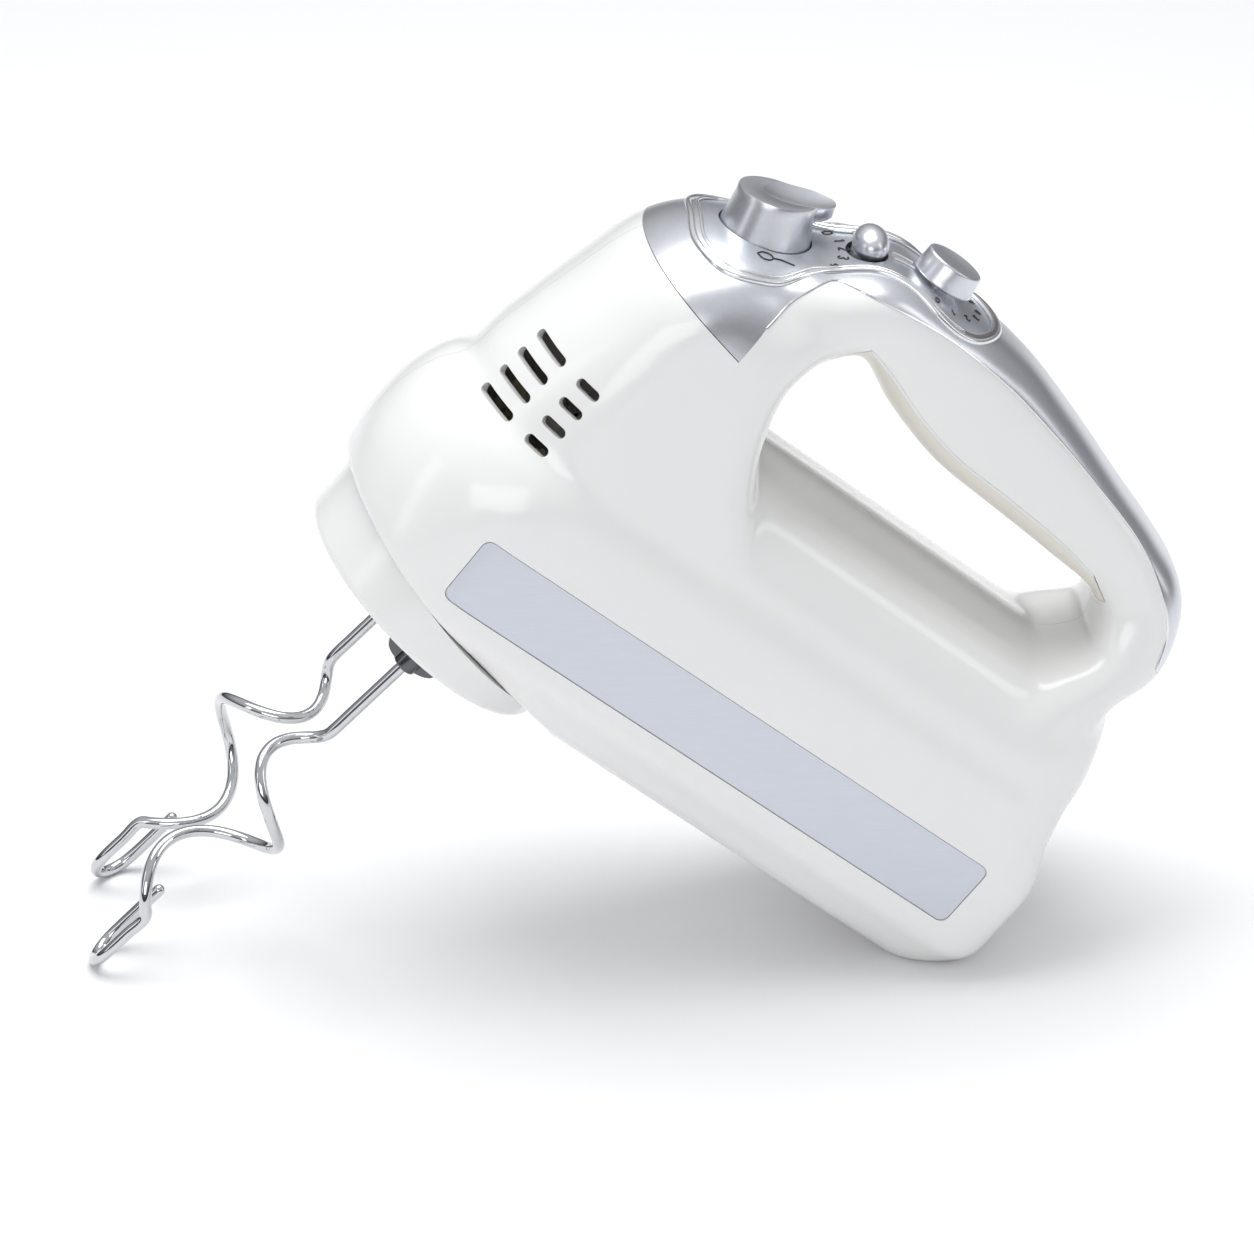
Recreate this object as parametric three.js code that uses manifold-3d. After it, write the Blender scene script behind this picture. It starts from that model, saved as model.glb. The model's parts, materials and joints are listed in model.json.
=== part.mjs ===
// Hand mixer with a D handle, two dough hooks, a worm-drive gearbox and a series motor.
// Millimetres, +Z up. The mixer rests on the heel of its base and on the tips of its hooks.
// "Mixer frame": x runs from the nose to the rear, y to the right, z up from the base.
// "Drive frame": its z is the spindle direction and its x the armature shaft.
import * as THREE from 'three';
import { mergeVertices } from 'three/addons/utils/BufferGeometryUtils.js';
import Module from 'manifold-3d';

const wasm = await Module();
wasm.setup();

// ---------------------------------------------------------------- driving dimensions
const REST_TILT = 37.5;        // degrees, base to table when the mixer rests on its heel
const SPINDLE_LEAN = 7.5;      // degrees, spindles lean forward of the base's normal
const GAP = 0.3;               // clearance between neighbouring solids
const WALL = 2.4;              // housing wall
const COVER_WALL = 2.2;        // wall of the top cover and the grip insert
const SKIN = 1.2;              // thickness of the badge strips
const BODY_HALF = 43;          // half width of the base
const SPINDLE_X = 44.5;        // where the spindle axes meet the base plane
const SPINDLE_Y = 21;          // half of the spindle spacing
const DRIVE_Z = 51;            // height of the armature axis in the drive frame
const HEEL_START = 197.5;      // front edge of the heel flat on the base
const WIRE_RADIUS = 1.6;       // hook wire
const HOLE_RADIUS = 7;         // hook holes in the spindle cover
const EJECT_STROKE = 4;        // travel of the speed knob when it is pressed to free the hooks
const SHAFT_RADIUS = 2;        // armature shaft
const WORM_STARTS = 2;
const WHEEL_TEETH = 28;
const WHEEL_PITCH_RADIUS = 16;
const WORM_PITCH_RADIUS = SPINDLE_Y - WHEEL_PITCH_RADIUS;
const AXIAL_PITCH = (2 * Math.PI * WHEEL_PITCH_RADIUS) / WHEEL_TEETH;

const radians = THREE.MathUtils.degToRad;

// ---------------------------------------------------------------- materials
const finish = (color, roughness, metalness = 0) =>
  new THREE.MeshStandardMaterial({ color, roughness, metalness });
const glossWhite = finish(0xf6f6f4, 0.22);
const satinSilver = finish(0xb9bec6, 0.32, 0.85);
const panelSilver = finish(0xa9b0ba, 0.34, 0.8);
const brushedStrip = finish(0xc3cad6, 0.38, 0.85);
const ivory = finish(0xe9e5da, 0.45);
const chrome = finish(0xd5d8dc, 0.08, 1);
const steel = finish(0x9a9ca0, 0.4, 1);
const lamination = finish(0x5d6066, 0.6, 0.8);
const copper = finish(0xb0662f, 0.4, 0.9);
const carbon = finish(0x2a2a2c, 0.8);
const brass = finish(0xc0a050, 0.35, 0.9);
const blackPlastic = finish(0x1c1c1e, 0.55);
const beigePlastic = finish(0xcdbf9f, 0.6);
const gearPlastic = finish(0xe8e4d6, 0.5);
const boardGreen = finish(0x2f6b46, 0.6);

// ---------------------------------------------------------------- solids and booleans
function solid(geometry) {
  const bare = geometry.clone();
  bare.deleteAttribute('normal');
  bare.deleteAttribute('uv');
  const merged = mergeVertices(bare, 1e-4);
  const index = merged.index.array;
  const triangles = [];
  for (let i = 0; i < index.length; i += 3) {
    const [a, b, c] = index.slice(i, i + 3);
    if (a !== b && b !== c && c !== a) triangles.push(a, b, c);
  }
  return new wasm.Manifold(new wasm.Mesh({
    numProp: 3,
    vertProperties: new Float32Array(merged.attributes.position.array),
    triVerts: new Uint32Array(triangles),
  }));
}

function geometryOf(manifold) {
  const mesh = manifold.getMesh();
  const geometry = new THREE.BufferGeometry();
  geometry.setAttribute('position', new THREE.BufferAttribute(mesh.vertProperties, 3));
  geometry.setIndex(new THREE.BufferAttribute(mesh.triVerts, 1));
  geometry.computeVertexNormals();
  return geometry;
}

const join = (...geometries) => geometries.map(solid).reduce((sum, next) => sum.add(next));
const cut = (body, ...tools) =>
  tools.reduce((left, tool) => left.subtract(tool.isBufferGeometry ? solid(tool) : tool), body);

// Slivers that a boolean leaves beside a piece are dropped.
const largest = (manifold) => manifold.decompose().sort((a, b) => b.volume() - a.volume())[0];

function add(parent, name, shape, material) {
  const geometry = geometryOf(shape.isBufferGeometry ? solid(shape) : largest(shape));
  const mesh = new THREE.Mesh(geometry, material);
  mesh.name = name;
  parent.add(mesh);
  return mesh;
}

// ---------------------------------------------------------------- basic shapes
const box = (dx, dy, dz, x = 0, y = 0, z = 0) =>
  new THREE.BoxGeometry(dx, dy, dz).translate(x, y, z);

// Round bar from a to b along one axis ('x', 'y' or 'z') through (p, q) on the other two.
function rod(axis, radius, a, b, p = 0, q = 0, segments = 20, endRadius = radius) {
  const bar = new THREE.CylinderGeometry(endRadius, radius, b - a, segments);
  const middle = (a + b) / 2;
  if (axis === 'x') return bar.rotateZ(-Math.PI / 2).translate(middle, p, q);
  if (axis === 'y') return bar.translate(p, middle, q);
  return bar.rotateX(Math.PI / 2).translate(p, q, middle);
}

// Tube along one axis: a rod less its bore.
function sleeve(axis, outer, inner, a, b, p = 0, q = 0, segments = 14) {
  return solid(rod(axis, outer, a, b, p, q, segments))
    .subtract(solid(rod(axis, inner, a - 1, b + 1, p, q, segments)));
}

// Closed skin through rings of equally many points, closed by a fan at each end.
function loft(rings) {
  const count = rings[0].length;
  const points = rings.flat();
  const index = [];
  for (let r = 0; r < rings.length - 1; r++) {
    for (let i = 0; i < count; i++) {
      const a = r * count + i;
      const b = r * count + ((i + 1) % count);
      index.push(a, b, b + count, a, b + count, a + count);
    }
  }
  const centre = (ring) => ring.reduce((sum, p) => sum.add(p), new THREE.Vector3())
    .multiplyScalar(1 / count);
  points.push(centre(rings[0]), centre(rings[rings.length - 1]));
  const [first, last] = [points.length - 2, points.length - 1];
  const tail = (rings.length - 1) * count;
  for (let i = 0; i < count; i++) {
    index.push(first, (i + 1) % count, i);
    index.push(last, tail + i, tail + ((i + 1) % count));
  }
  let volume = 0;
  for (let i = 0; i < index.length; i += 3) {
    const [a, b, c] = [points[index[i]], points[index[i + 1]], points[index[i + 2]]];
    volume += a.dot(new THREE.Vector3().crossVectors(b, c));
  }
  if (volume < 0) index.reverse();
  const geometry = new THREE.BufferGeometry().setFromPoints(points);
  return geometry.setIndex(index);
}

// Flat outline given as [x, z] points, extruded across y from y0 to y1.
function sidePrism(outline, y0, y1) {
  const shape = new THREE.Shape(outline.map(([x, z]) => new THREE.Vector2(x, z)));
  return new THREE.ExtrudeGeometry(shape, { depth: y1 - y0, bevelEnabled: false })
    .rotateX(Math.PI / 2).translate(0, y1, 0);
}

// Flat outline given as [x, y] points, extruded up z from z0 to z1.
function plate(outline, z0, z1) {
  const shape = new THREE.Shape(outline.map(([x, y]) => new THREE.Vector2(x, y)));
  return new THREE.ExtrudeGeometry(shape, { depth: z1 - z0, bevelEnabled: false })
    .translate(0, 0, z0);
}

// Points of a spline through [x, y] control points, for smooth outlines.
const smooth = (points, count, closed = false) =>
  new THREE.CatmullRomCurve3(points.map(([x, y]) => new THREE.Vector3(x, y, 0)), closed, 'centripetal')
    .getPoints(count).slice(0, closed ? -1 : undefined).map((p) => [p.x, p.y]);

// Round tube along a curve.
function wire(curve, radius, steps, sides = 8) {
  const section = new THREE.Shape();
  section.absarc(0, 0, radius, 0, 2 * Math.PI);
  return new THREE.ExtrudeGeometry(section, {
    steps, curveSegments: sides / 2, bevelEnabled: false, extrudePath: curve,
  });
}

// ---------------------------------------------------------------- frames
const mixer = new THREE.Group();
mixer.rotation.y = radians(REST_TILT);

const driveFrame = new THREE.Matrix4().makeRotationY(radians(SPINDLE_LEAN))
  .setPosition(SPINDLE_X, 0, 0);
const drive = new THREE.Group();
drive.applyMatrix4(driveFrame);
mixer.add(drive);

// ---------------------------------------------------------------- outer form
// Horizontal slices: [z, front x, rear x, half width].
const BASE_SLICES = [
  [0, 20, 209, 29.5], [8, 9, 211, 36.5], [15.5, 3.5, 212, 42.6], [19, 2.4, 212, BODY_HALF],
  [26, 0.8, 212, BODY_HALF], [36, 0, 212, BODY_HALF], [45, 1, 208.5, BODY_HALF],
  [52, 3, 206, 42], [58, 6, 205, 40.5], [63, 10.5, 204.5, 38],
];
const COLUMN_SLICES = [
  [46, 4, 100, 36], [62, 10.5, 98, 38.6], [70, 11.3, 94, 38.2], [84, 14.8, 83, 37.4],
  [98, 18.8, 76, 36.2], [110, 22.4, 73.5, 35], [117, 26, 75, 33.5], [123, 31, 78, 30.5],
  [128, 37, 82, 26], [132, 45, 86, 20], [135.5, 54, 90, 12],
];
const REAR_SLICES = [
  [46, 40, 205, 36], [56, 40, 205.5, 39], [64, 40, 205.5, 38.4], [72, 44, 204.5, 36],
  [79, 50, 203.5, 31], [83.5, 56, 203, 24], [86, 62, 202, 14],
];
// Handle stations: [top x, top z, underside x, underside z, half width].
const HANDLE_STATIONS = [
  [44, 130.5, 56, 98, 19], [56, 136, 60, 98, 27], [68, 142, 70, 110, 28], [82, 147, 84, 124, 25.5],
  [104, 148.3, 106, 116, 23], [124, 146, 122, 111, 20], [144, 140.5, 141, 109.5, 18.5],
  [165, 133.5, 160, 108.5, 18],
  [184, 127, 177, 107, 18], [197, 121, 184, 102, 20], [205.5, 107, 183, 91, 24],
  [203.5, 92, 175, 80, 30], [204, 76, 163, 66, 36],
];
const NOSE_STEPS = 10;
const CORNER_STEPS = 3;
const HANDLE_SIDES = 16;
const HANDLE_SQUARENESS = 0.62; // 1 for an oval handle section, towards 0 for a square one
const NOSE_LENGTH = 40;        // length of the half ellipse that ends each slice at the nose

function planRing(z, front, rear, half, corner) {
  const nose = Math.min(NOSE_LENGTH, (rear - front) * 0.45);
  const bend = Math.min(corner, half * 0.8, (rear - front) * 0.3);
  const ring = [];
  for (let i = 0; i <= NOSE_STEPS; i++) {
    const a = radians(-90 + (i * 180) / NOSE_STEPS);
    ring.push(new THREE.Vector3(front + nose * (1 - Math.cos(a)), half * Math.sin(a), z));
  }
  for (const side of [1, -1]) {
    for (let i = 0; i <= CORNER_STEPS; i++) {
      const a = radians(90 * (side > 0 ? i : CORNER_STEPS - i) / CORNER_STEPS);
      const x = rear - bend + bend * Math.sin(a);
      ring.push(new THREE.Vector3(x, side * (half - bend + bend * Math.cos(a)), z));
    }
  }
  return ring;
}

// Stack of slices, drawn in by an inset measured square to the flanks.
function stack(slices, corner, inset) {
  return loft(slices.map(([z, front, rear, half], i) => {
    const below = slices[Math.max(i - 1, 0)];
    const above = slices[Math.min(i + 1, slices.length - 1)];
    const rise = above[0] - below[0];
    const narrowing = below[3] - above[3];
    const length = Math.hypot(rise, narrowing);
    const side = (inset * rise) / length;
    const drop = (inset * narrowing) / length;
    return planRing(z - drop, front + side, rear - side, Math.max(half - side, 2), corner);
  }));
}

function handle(inset) {
  return loft(HANDLE_STATIONS.map(([tx, tz, ux, uz, half]) => {
    const top = new THREE.Vector3(tx, 0, tz);
    const underside = new THREE.Vector3(ux, 0, uz);
    const middle = top.clone().add(underside).multiplyScalar(0.5);
    const up = top.clone().sub(underside);
    const thickness = up.length() / 2 - inset;
    up.normalize();
    const ring = [];
    for (let i = 0; i < HANDLE_SIDES; i++) {
      const a = (i * 2 * Math.PI) / HANDLE_SIDES;
      const bulge = (value) => Math.sign(value) * Math.abs(value) ** HANDLE_SQUARENESS;
      ring.push(middle.clone().addScaledVector(up, thickness * bulge(Math.sin(a)))
        .add(new THREE.Vector3(0, (half - inset) * bulge(Math.cos(a)), 0)));
    }
    return ring;
  }));
}

function form(inset) {
  const base = stack(BASE_SLICES, 14, inset);
  return join(base, stack(COLUMN_SLICES, 10, inset), stack(REAR_SLICES, 16, inset), handle(inset));
}

// ---------------------------------------------------------------- cut lines on the outer form
// Top cover: everything above this line, seen from the side.
const COVER_EDGE = [
  ...smooth([[-10, 119.5], [20, 116.3], [38, 114.5], [56, 111]], 3),
  ...smooth([[57, 121], [60, 130], [66, 137], [77, 140.8], [97, 142.6], [118, 141], [138, 137],
    [154, 133], [177, 126], [189, 119.5], [197, 112], [201, 102.5], [215, 102]], 15),
];
const coverZone = (grow) => sidePrism(
  [...COVER_EDGE.map(([x, z]) => [x, z - grow]), [225, 102], [225, 190], [-20, 190]], -60, 60);

// Grip insert: the trough under the grip.
const INSERT_EDGE = smooth(
  [[84, 129.5], [94, 126.5], [106, 122], [121, 118], [140, 116.5], [158, 115], [172, 112.5]], 12);
const INSERT_END = [[180, 108], [178, 100], [92, 100], [78, 122]];
const insertZone = (grow) => sidePrism(
  [...INSERT_EDGE.map(([x, z]) => [x, z + grow]), ...INSERT_END.map(([x, z]) => [
    x + (x > 130 ? grow : -grow), z])], -60, 60);

// Nose underside: the plane where the housing stops above the spindle cover.
const NOSE_CUT_ANGLE = 16.5;
const noseCut = (grow) => box(90, 120, 60, 0, 0, -30 + grow)
  .rotateY(radians(NOSE_CUT_ANGLE)).translate(38, 0, 12.6);

// Heel flat: the plane that rests on the table.
const heelCut = (inset) => box(60, 120, 40, 20, 0, inset - 20)
  .rotateY(radians(-REST_TILT)).translate(HEEL_START, 0, 0);

// Badge strips: rounded bars along both flanks of the base.
function badgeZone(side, grow, depth) {
  const shape = new THREE.Shape();
  const [x0, x1, z0, z1, r] = [33 - grow, 193.5 + grow, 20.5 - grow, 39.5 + grow, 2.5];
  shape.moveTo(x0 + r, z0).lineTo(x1 - r, z0).quadraticCurveTo(x1, z0, x1, z0 + r)
    .lineTo(x1, z1 - r).quadraticCurveTo(x1, z1, x1 - r, z1)
    .lineTo(x0 + r, z1).quadraticCurveTo(x0, z1, x0, z1 - r)
    .lineTo(x0, z0 + r).quadraticCurveTo(x0, z0, x0 + r, z0);
  const bar = new THREE.ExtrudeGeometry(shape, { depth: 30, bevelEnabled: false, curveSegments: 4 })
    .rotateX(Math.PI / 2).translate(0, side > 0 ? 60 : -30, 0);
  return solid(bar).subtract(form(depth));
}

// ---------------------------------------------------------------- control panel frame
// The panel lies on the domed top; each control stands square to the slope where it sits.
const PANEL_OUTLINE = smooth([
  [35, 0], [36.5, 14], [43, 22.5], [53, 22], [63, 14.5], [74, 11.5], [85, 14], [96, 17.5],
  [106, 15], [112, 0], [106, -15], [96, -17.5], [85, -14], [74, -11.5], [63, -14.5], [53, -22],
  [43, -22.5], [36.5, -14],
], 26, true);
const CONTROLS = {
  speed: { x: 50.5, z: 133, slope: 20 },
  turbo: { x: 74.5, z: 144, slope: 17 },
  regulator: { x: 95, z: 147, slope: 4 },
};

function controlGroup({ x, z, slope }) {
  const group = new THREE.Group();
  group.position.set(x, 0, z);
  group.rotation.y = radians(-slope);
  group.updateMatrix();
  mixer.add(group);
  return group;
}
const speedGroup = controlGroup(CONTROLS.speed);
const turboGroup = controlGroup(CONTROLS.turbo);
const regulatorGroup = controlGroup(CONTROLS.regulator);
const placed = (group, geometry) => geometry.clone().applyMatrix4(group.matrix);

// ---------------------------------------------------------------- casing parts
const outer = cut(form(0), noseCut(0), heelCut(0));
const hollow = cut(form(WALL), heelCut(WALL));
const bossInset = form(WALL - 0.4);

// Vent slots: two columns of four, the front ones longer, on both flanks of the nose.
const VENTS = [[21.25, 21, 49, 13.6], [32.6, 31, 33, 7.2]]; // [x, y, turn, length] of each column
const VENT_ROWS = { count: 4, top: 82.75, pitch: 6.35, shift: 0.35, radius: 1.4 };
function ventSlots(side) {
  const slots = [];
  const { count, top, pitch, shift, radius } = VENT_ROWS;
  for (let row = 0; row < count; row++) {
    for (const [x, y, turn, length] of VENTS) {
      slots.push(new THREE.CapsuleGeometry(radius, length - 2 * radius, 1, 6).rotateZ(Math.PI / 2)
        .scale(1, 5, 1).rotateZ(radians(side * turn))
        .translate(x - shift * row, side * y, top - pitch * row));
    }
  }
  return slots;
}

// Housing screws: [x, z] of five bosses across the clamshell.
const SCREWS = [[88, 13.5], [150, 13.5], [193, 24], [186, 66], [68, 98]];
const SCREW_HEAD_Y = 30;
const bosses = (side) => SCREWS.map(([x, z]) =>
  rod('y', 4, Math.min(0, side * 45), Math.max(0, side * 45), x, z, 8));

function housing(side) {
  const halfSpace = box(300, 60, 220, 100, side * (30 + GAP / 2), 80);
  let shell = outer.subtract(hollow);
  const inside = outer.intersect(bossInset);
  for (const boss of bosses(side)) shell = shell.add(solid(boss).intersect(inside));
  shell = cut(shell, coverZone(GAP), insertZone(GAP), badgeZone(side, GAP, SKIN + GAP), ...ventSlots(side));
  for (const [x, z] of SCREWS) {
    shell = side > 0
      ? cut(shell, rod('y', 1.8, -1, 60, x, z, 6), rod('y', 3.4, SCREW_HEAD_Y - 3, 60, x, z, 8))
      : cut(shell, rod('y', 1.8, -12, 1, x, z, 6));
  }
  return cut(shell.intersect(solid(halfSpace)), cordInletHole());
}

function screw(x, z) {
  const head = rod('y', 2.9, SCREW_HEAD_Y - 2.7, SCREW_HEAD_Y - 0.4, x, z, 10);
  const shank = rod('y', 1.45, -10, SCREW_HEAD_Y - 2.5, x, z, 6);
  return cut(join(head, shank), box(4, 1.2, 0.9, x, SCREW_HEAD_Y - 0.6, z),
    box(0.9, 1.2, 4, x, SCREW_HEAD_Y - 0.6, z));
}

// Cord inlet: a bush in the rear wall, low on the pillar.
const INLET_Z = 66;
function cordInletHole() {
  return rod('x', 5.5 + GAP, 190, 220, 0, INLET_Z, 14);
}
function cordInlet() {
  const bush = join(rod('x', 5.5, 199, 206.5, 0, INLET_Z, 14), rod('x', 7.5, 199, 201.4, 0, INLET_Z, 14));
  return cut(bush, rod('x', 3.4, 190, 220, 0, INLET_Z, 16));
}

// The panel's outline as a zone that stays above the grip's underside.
const panelZone = (grow) => solid(plate(grown(PANEL_OUTLINE, grow), 100, 180))
  .intersect(solid(sidePrism([[20, 112], [72, 118], [90, 128], [130, 130], [130, 170], [20, 170]], -60, 60)));

function topCover() {
  const skin = outer.subtract(form(COVER_WALL)).intersect(solid(coverZone(0)));
  return cut(skin, panelZone(GAP));
}

// Outline pushed out from the centreline of the panel by a small amount.
function grown(outline, amount) {
  const centre = [74, 0];
  return outline.map(([x, y]) => {
    const length = Math.hypot(x - centre[0], y) || 1;
    return [x + (amount * (x - centre[0])) / length, y + Math.sign(y) * amount];
  });
}

function controlPanel() {
  const sheet = form(0.9).subtract(form(3.2)).intersect(panelZone(0));
  return cut(sheet, placed(speedGroup, rod('z', KNOB.radius + GAP, -20, 20, 0, 0, 28)),
    placed(turboGroup, rod('z', 5.3, -20, 20).scale(1, 1.43, 1)),
    placed(regulatorGroup, rod('z', 3.4, -20, 20)));
}

const gripInsert = () => outer.subtract(form(COVER_WALL)).intersect(solid(insertZone(0)));

// ---------------------------------------------------------------- controls
// Teardrop: a round body drawn out to a pointer on the +x side.
function teardrop(radius, tip, z0, z1, topScale) {
  const outline = [];
  for (let i = 0; i <= 20; i++) {
    const a = radians(50 + (i * 260) / 20);
    outline.push([radius * Math.cos(a), radius * Math.sin(a)]);
  }
  outline.push([tip - 2, -3], [tip, -1.2], [tip, 1.2], [tip - 2, 3]);
  const ring = (scale, z) => outline.map(([x, y]) => new THREE.Vector3(x * scale, y * scale, z));
  return loft([ring(1, z0), ring(topScale + 0.03, z1 - 1.5), ring(topScale, z1)]);
}

const STEM_END = -7;           // lower end of each control's stem
const POINTER_REST = 30;       // degrees, the pointer at zero
const KNOB = { radius: 12, tip: 18.5, top: 9.6, foot: -1.5, beak: 5.4, stem: 3.6 };
const SCOOP_CENTRE = [9, 0, 47.6]; // of the ball that hollows the top of the knob
function speedKnob() {
  const body = rod('z', KNOB.radius, KNOB.foot, KNOB.top, 0, 0, 24, KNOB.radius * 0.92);
  const beak = teardrop(KNOB.radius - 0.6, KNOB.tip, KNOB.beak, KNOB.top, 0.94);
  const scoop = new THREE.SphereGeometry(40, 32, 16).scale(1, 0.6, 1).translate(...SCOOP_CENTRE);
  const stem = rod('z', KNOB.stem, STEM_END, 0, 0, 0, 14);
  return cut(join(body, beak, stem), scoop).rotate([0, 0, POINTER_REST]);
}

function turboButton() {
  const ball = new THREE.SphereGeometry(5, 14, 8).scale(0.94, 1.4, 0.9).translate(0, 0, 1.6);
  return join(ball, rod('z', 4.2, STEM_END, 1, 0, 0, 14));
}

function regulatorKnob() {
  return join(rod('z', 8.4, 1.2, 7.4, 0, 0, 24, 7.7), rod('z', 2.8, STEM_END, 1.5, 0, 0, 12));
}

// ---------------------------------------------------------------- spindle cover (front disc)
const COVER_RADIUS = 39;
const COVER_CENTRE = -1.5;     // disc centre forward of the spindle axes
const COVER_FLOOR = 3;
function spindleCover() {
  const disc = rod('z', COVER_RADIUS, -1, 30, COVER_CENTRE, 0, 40, COVER_RADIUS + 1.5);
  const cavity = rod('z', COVER_RADIUS - 2.6, -1 + COVER_FLOOR, 40, COVER_CENTRE, 0, 32);
  let cup = cut(solid(disc), cavity);
  for (const side of [-1, 1]) {
    cup = cut(cup, rod('z', HOLE_RADIUS, -10, 10, 0, side * SPINDLE_Y, 16));
  }
  const above = noseCut(0).applyMatrix4(driveFrame.clone().invert());
  return cup.intersect(solid(above.translate(0, 0, -GAP)));
}

// ---------------------------------------------------------------- gearbox (drive frame)
const SPINDLE_BORE = 3.1;
const SPINDLE_OUTER = 5.4;
const SPINDLE_FOOT = 3.5;
const SPINDLE_TOP = 58;
const FRAME_Z = 36;            // underside of the gearbox frame plate
const WHEEL_FACE = 7;

// Toothed wheel about z with straight-sided teeth, twisted to follow the worm's lead.
function wormWheel() {
  const tip = WHEEL_PITCH_RADIUS + 1.3;
  const root = WHEEL_PITCH_RADIUS - 1.7;
  const outline = [];
  for (let i = 0; i < WHEEL_TEETH; i++) {
    const a = ((i + 0.5) * 2 * Math.PI) / WHEEL_TEETH;
    const pitch = (2 * Math.PI) / WHEEL_TEETH;
    for (const [r, t] of [[root, -0.3], [tip, -0.12], [tip, 0.12], [root, 0.3]]) {
      outline.push([r * Math.cos(a + t * pitch), r * Math.sin(a + t * pitch)]);
    }
  }
  const slope = (WORM_STARTS * AXIAL_PITCH) / (2 * Math.PI * WORM_PITCH_RADIUS);
  const ring = (z) => outline.map(([x, y]) => new THREE.Vector3(x, y, z)
    .applyAxisAngle(new THREE.Vector3(0, 0, 1), (z * slope) / WHEEL_PITCH_RADIUS));
  const wheel = loft([ring(-WHEEL_FACE / 2), ring(WHEEL_FACE / 2)]);
  return cut(solid(wheel), rod('z', SPINDLE_OUTER + GAP, -10, 10, 0, 0, 14));
}

function worm() {
  const inner = WORM_PITCH_RADIUS - 1.5;
  const crest = WORM_PITCH_RADIUS + 1.1;
  const lead = WORM_STARTS * AXIAL_PITCH;
  const turns = 1.9;
  let body = sleeve('x', inner - 0.2, SHAFT_RADIUS + GAP, -9, 9, 0, 0, 12);
  for (let start = 0; start < WORM_STARTS; start++) {
    const rings = [];
    for (let i = 0; i <= 9 * turns; i++) {
      const turn = i / 9 - turns / 2;
      const a = 2 * Math.PI * turn;
      const x = lead * turn + start * AXIAL_PITCH;
      rings.push([[inner - 0.5, -0.95], [crest, -0.5], [crest, 0.5], [inner - 0.5, 0.95]].map(([r, dx]) =>
        new THREE.Vector3(x + dx, r * Math.cos(a), r * Math.sin(a))));
    }
    body = body.add(solid(loft(rings)).intersect(solid(rod('x', 10, -9, 9))));
  }
  return body;
}

function gearboxFrame() {
  const base = join(box(46, 72, 3, -1, 0, FRAME_Z + 1.5), box(3, 30, 26, 20.5, 0, FRAME_Z + 13),
    box(3, 24, 24, -22.5, 0, FRAME_Z + 12));
  const holes = [-1, 1].map((side) => rod('z', SPINDLE_OUTER + 2.2 + GAP, 20, 45, 0, side * SPINDLE_Y, 14));
  return cut(base, ...holes, rod('x', 5 + GAP, 15, 30, 0, DRIVE_Z, 14),
    rod('x', SHAFT_RADIUS + GAP, -30, -15, 0, DRIVE_Z, 12));
}

// Winged collar pressed onto one hook: it only fits the matching spindle.
const COLLAR_Z = -6.5;
function hookCollar() {
  const wings = box(15.5, 1.6, 6.5, 0, 0, COLLAR_Z);
  const rounding = new THREE.CylinderGeometry(8, 8, 6, 16).scale(1, 1, 0.55);
  const wing = solid(wings).intersect(solid(rounding.translate(0, 0, COLLAR_Z)));
  const hub = solid(rod('z', 3.4, COLLAR_Z - 3.4, COLLAR_Z + 3.2, 0, 0, 20));
  return cut(hub.add(wing), rod('z', WIRE_RADIUS + GAP, -30, 30, 0, 0, 12));
}

// Hook centreline in its own frame, hanging along -z: straight shank, one and a half turns of
// spiral, then a U bend that brings the wire back up beside itself.
const HOOK = {
  top: 44, start: -35, full: -57, ease: -74.3, end: -107, radius: 12.3, tail: 5.9, middle: -67,
  twistAbove: 7.8, twistBelow: 6.4, tighten: 0.03, bendWidth: 13.9, bendAngle: 114,
  tip: -128.2, wireEnd: -105,
};
const HOOK_PHASE = { left: -33, right: 196 };
function hookCurve(hand, phase) {
  const points = [[0, 0, HOOK.top], [0, 0, 20], [0, 0, 0], [0, 0, HOOK.start + 6]];
  const steps = 26;
  for (let i = 0; i <= steps; i++) {
    const z = HOOK.start + ((HOOK.end - HOOK.start) * i) / steps;
    const past = HOOK.middle - z;
    const a = radians(past < 0 ? HOOK.twistAbove * past : HOOK.twistBelow * past + HOOK.tighten * past ** 2);
    const swell = THREE.MathUtils.smoothstep(-z, -HOOK.start, -HOOK.full);
    const fade = THREE.MathUtils.smoothstep(-z, -HOOK.ease, -HOOK.end);
    const r = HOOK.radius * swell * (1 - fade) + HOOK.tail * fade;
    points.push([r * Math.cos(a), r * Math.sin(a), z]);
  }
  const [ex, ey] = points[points.length - 1];
  const across = [Math.cos(radians(HOOK.bendAngle)), Math.sin(radians(HOOK.bendAngle))];
  const bendZ = HOOK.tip + HOOK.bendWidth / 2;
  points.push([ex, ey, (HOOK.end + bendZ) / 2]);
  for (let i = 0; i <= 6; i++) {
    const t = (i * Math.PI) / 6;
    const offset = (HOOK.bendWidth * (1 - Math.cos(t))) / 2;
    const z = bendZ - (HOOK.bendWidth / 2) * Math.sin(t);
    points.push([ex + across[0] * offset, ey + across[1] * offset, z]);
  }
  const [fx, fy] = points[points.length - 1];
  points.push([fx, fy, HOOK.wireEnd]);
  return new THREE.CatmullRomCurve3(points.map(([x, y, z]) =>
    new THREE.Vector3(x, y * hand, z).applyAxisAngle(new THREE.Vector3(0, 0, 1), hand * radians(phase))),
  false, 'centripetal');
}

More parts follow.
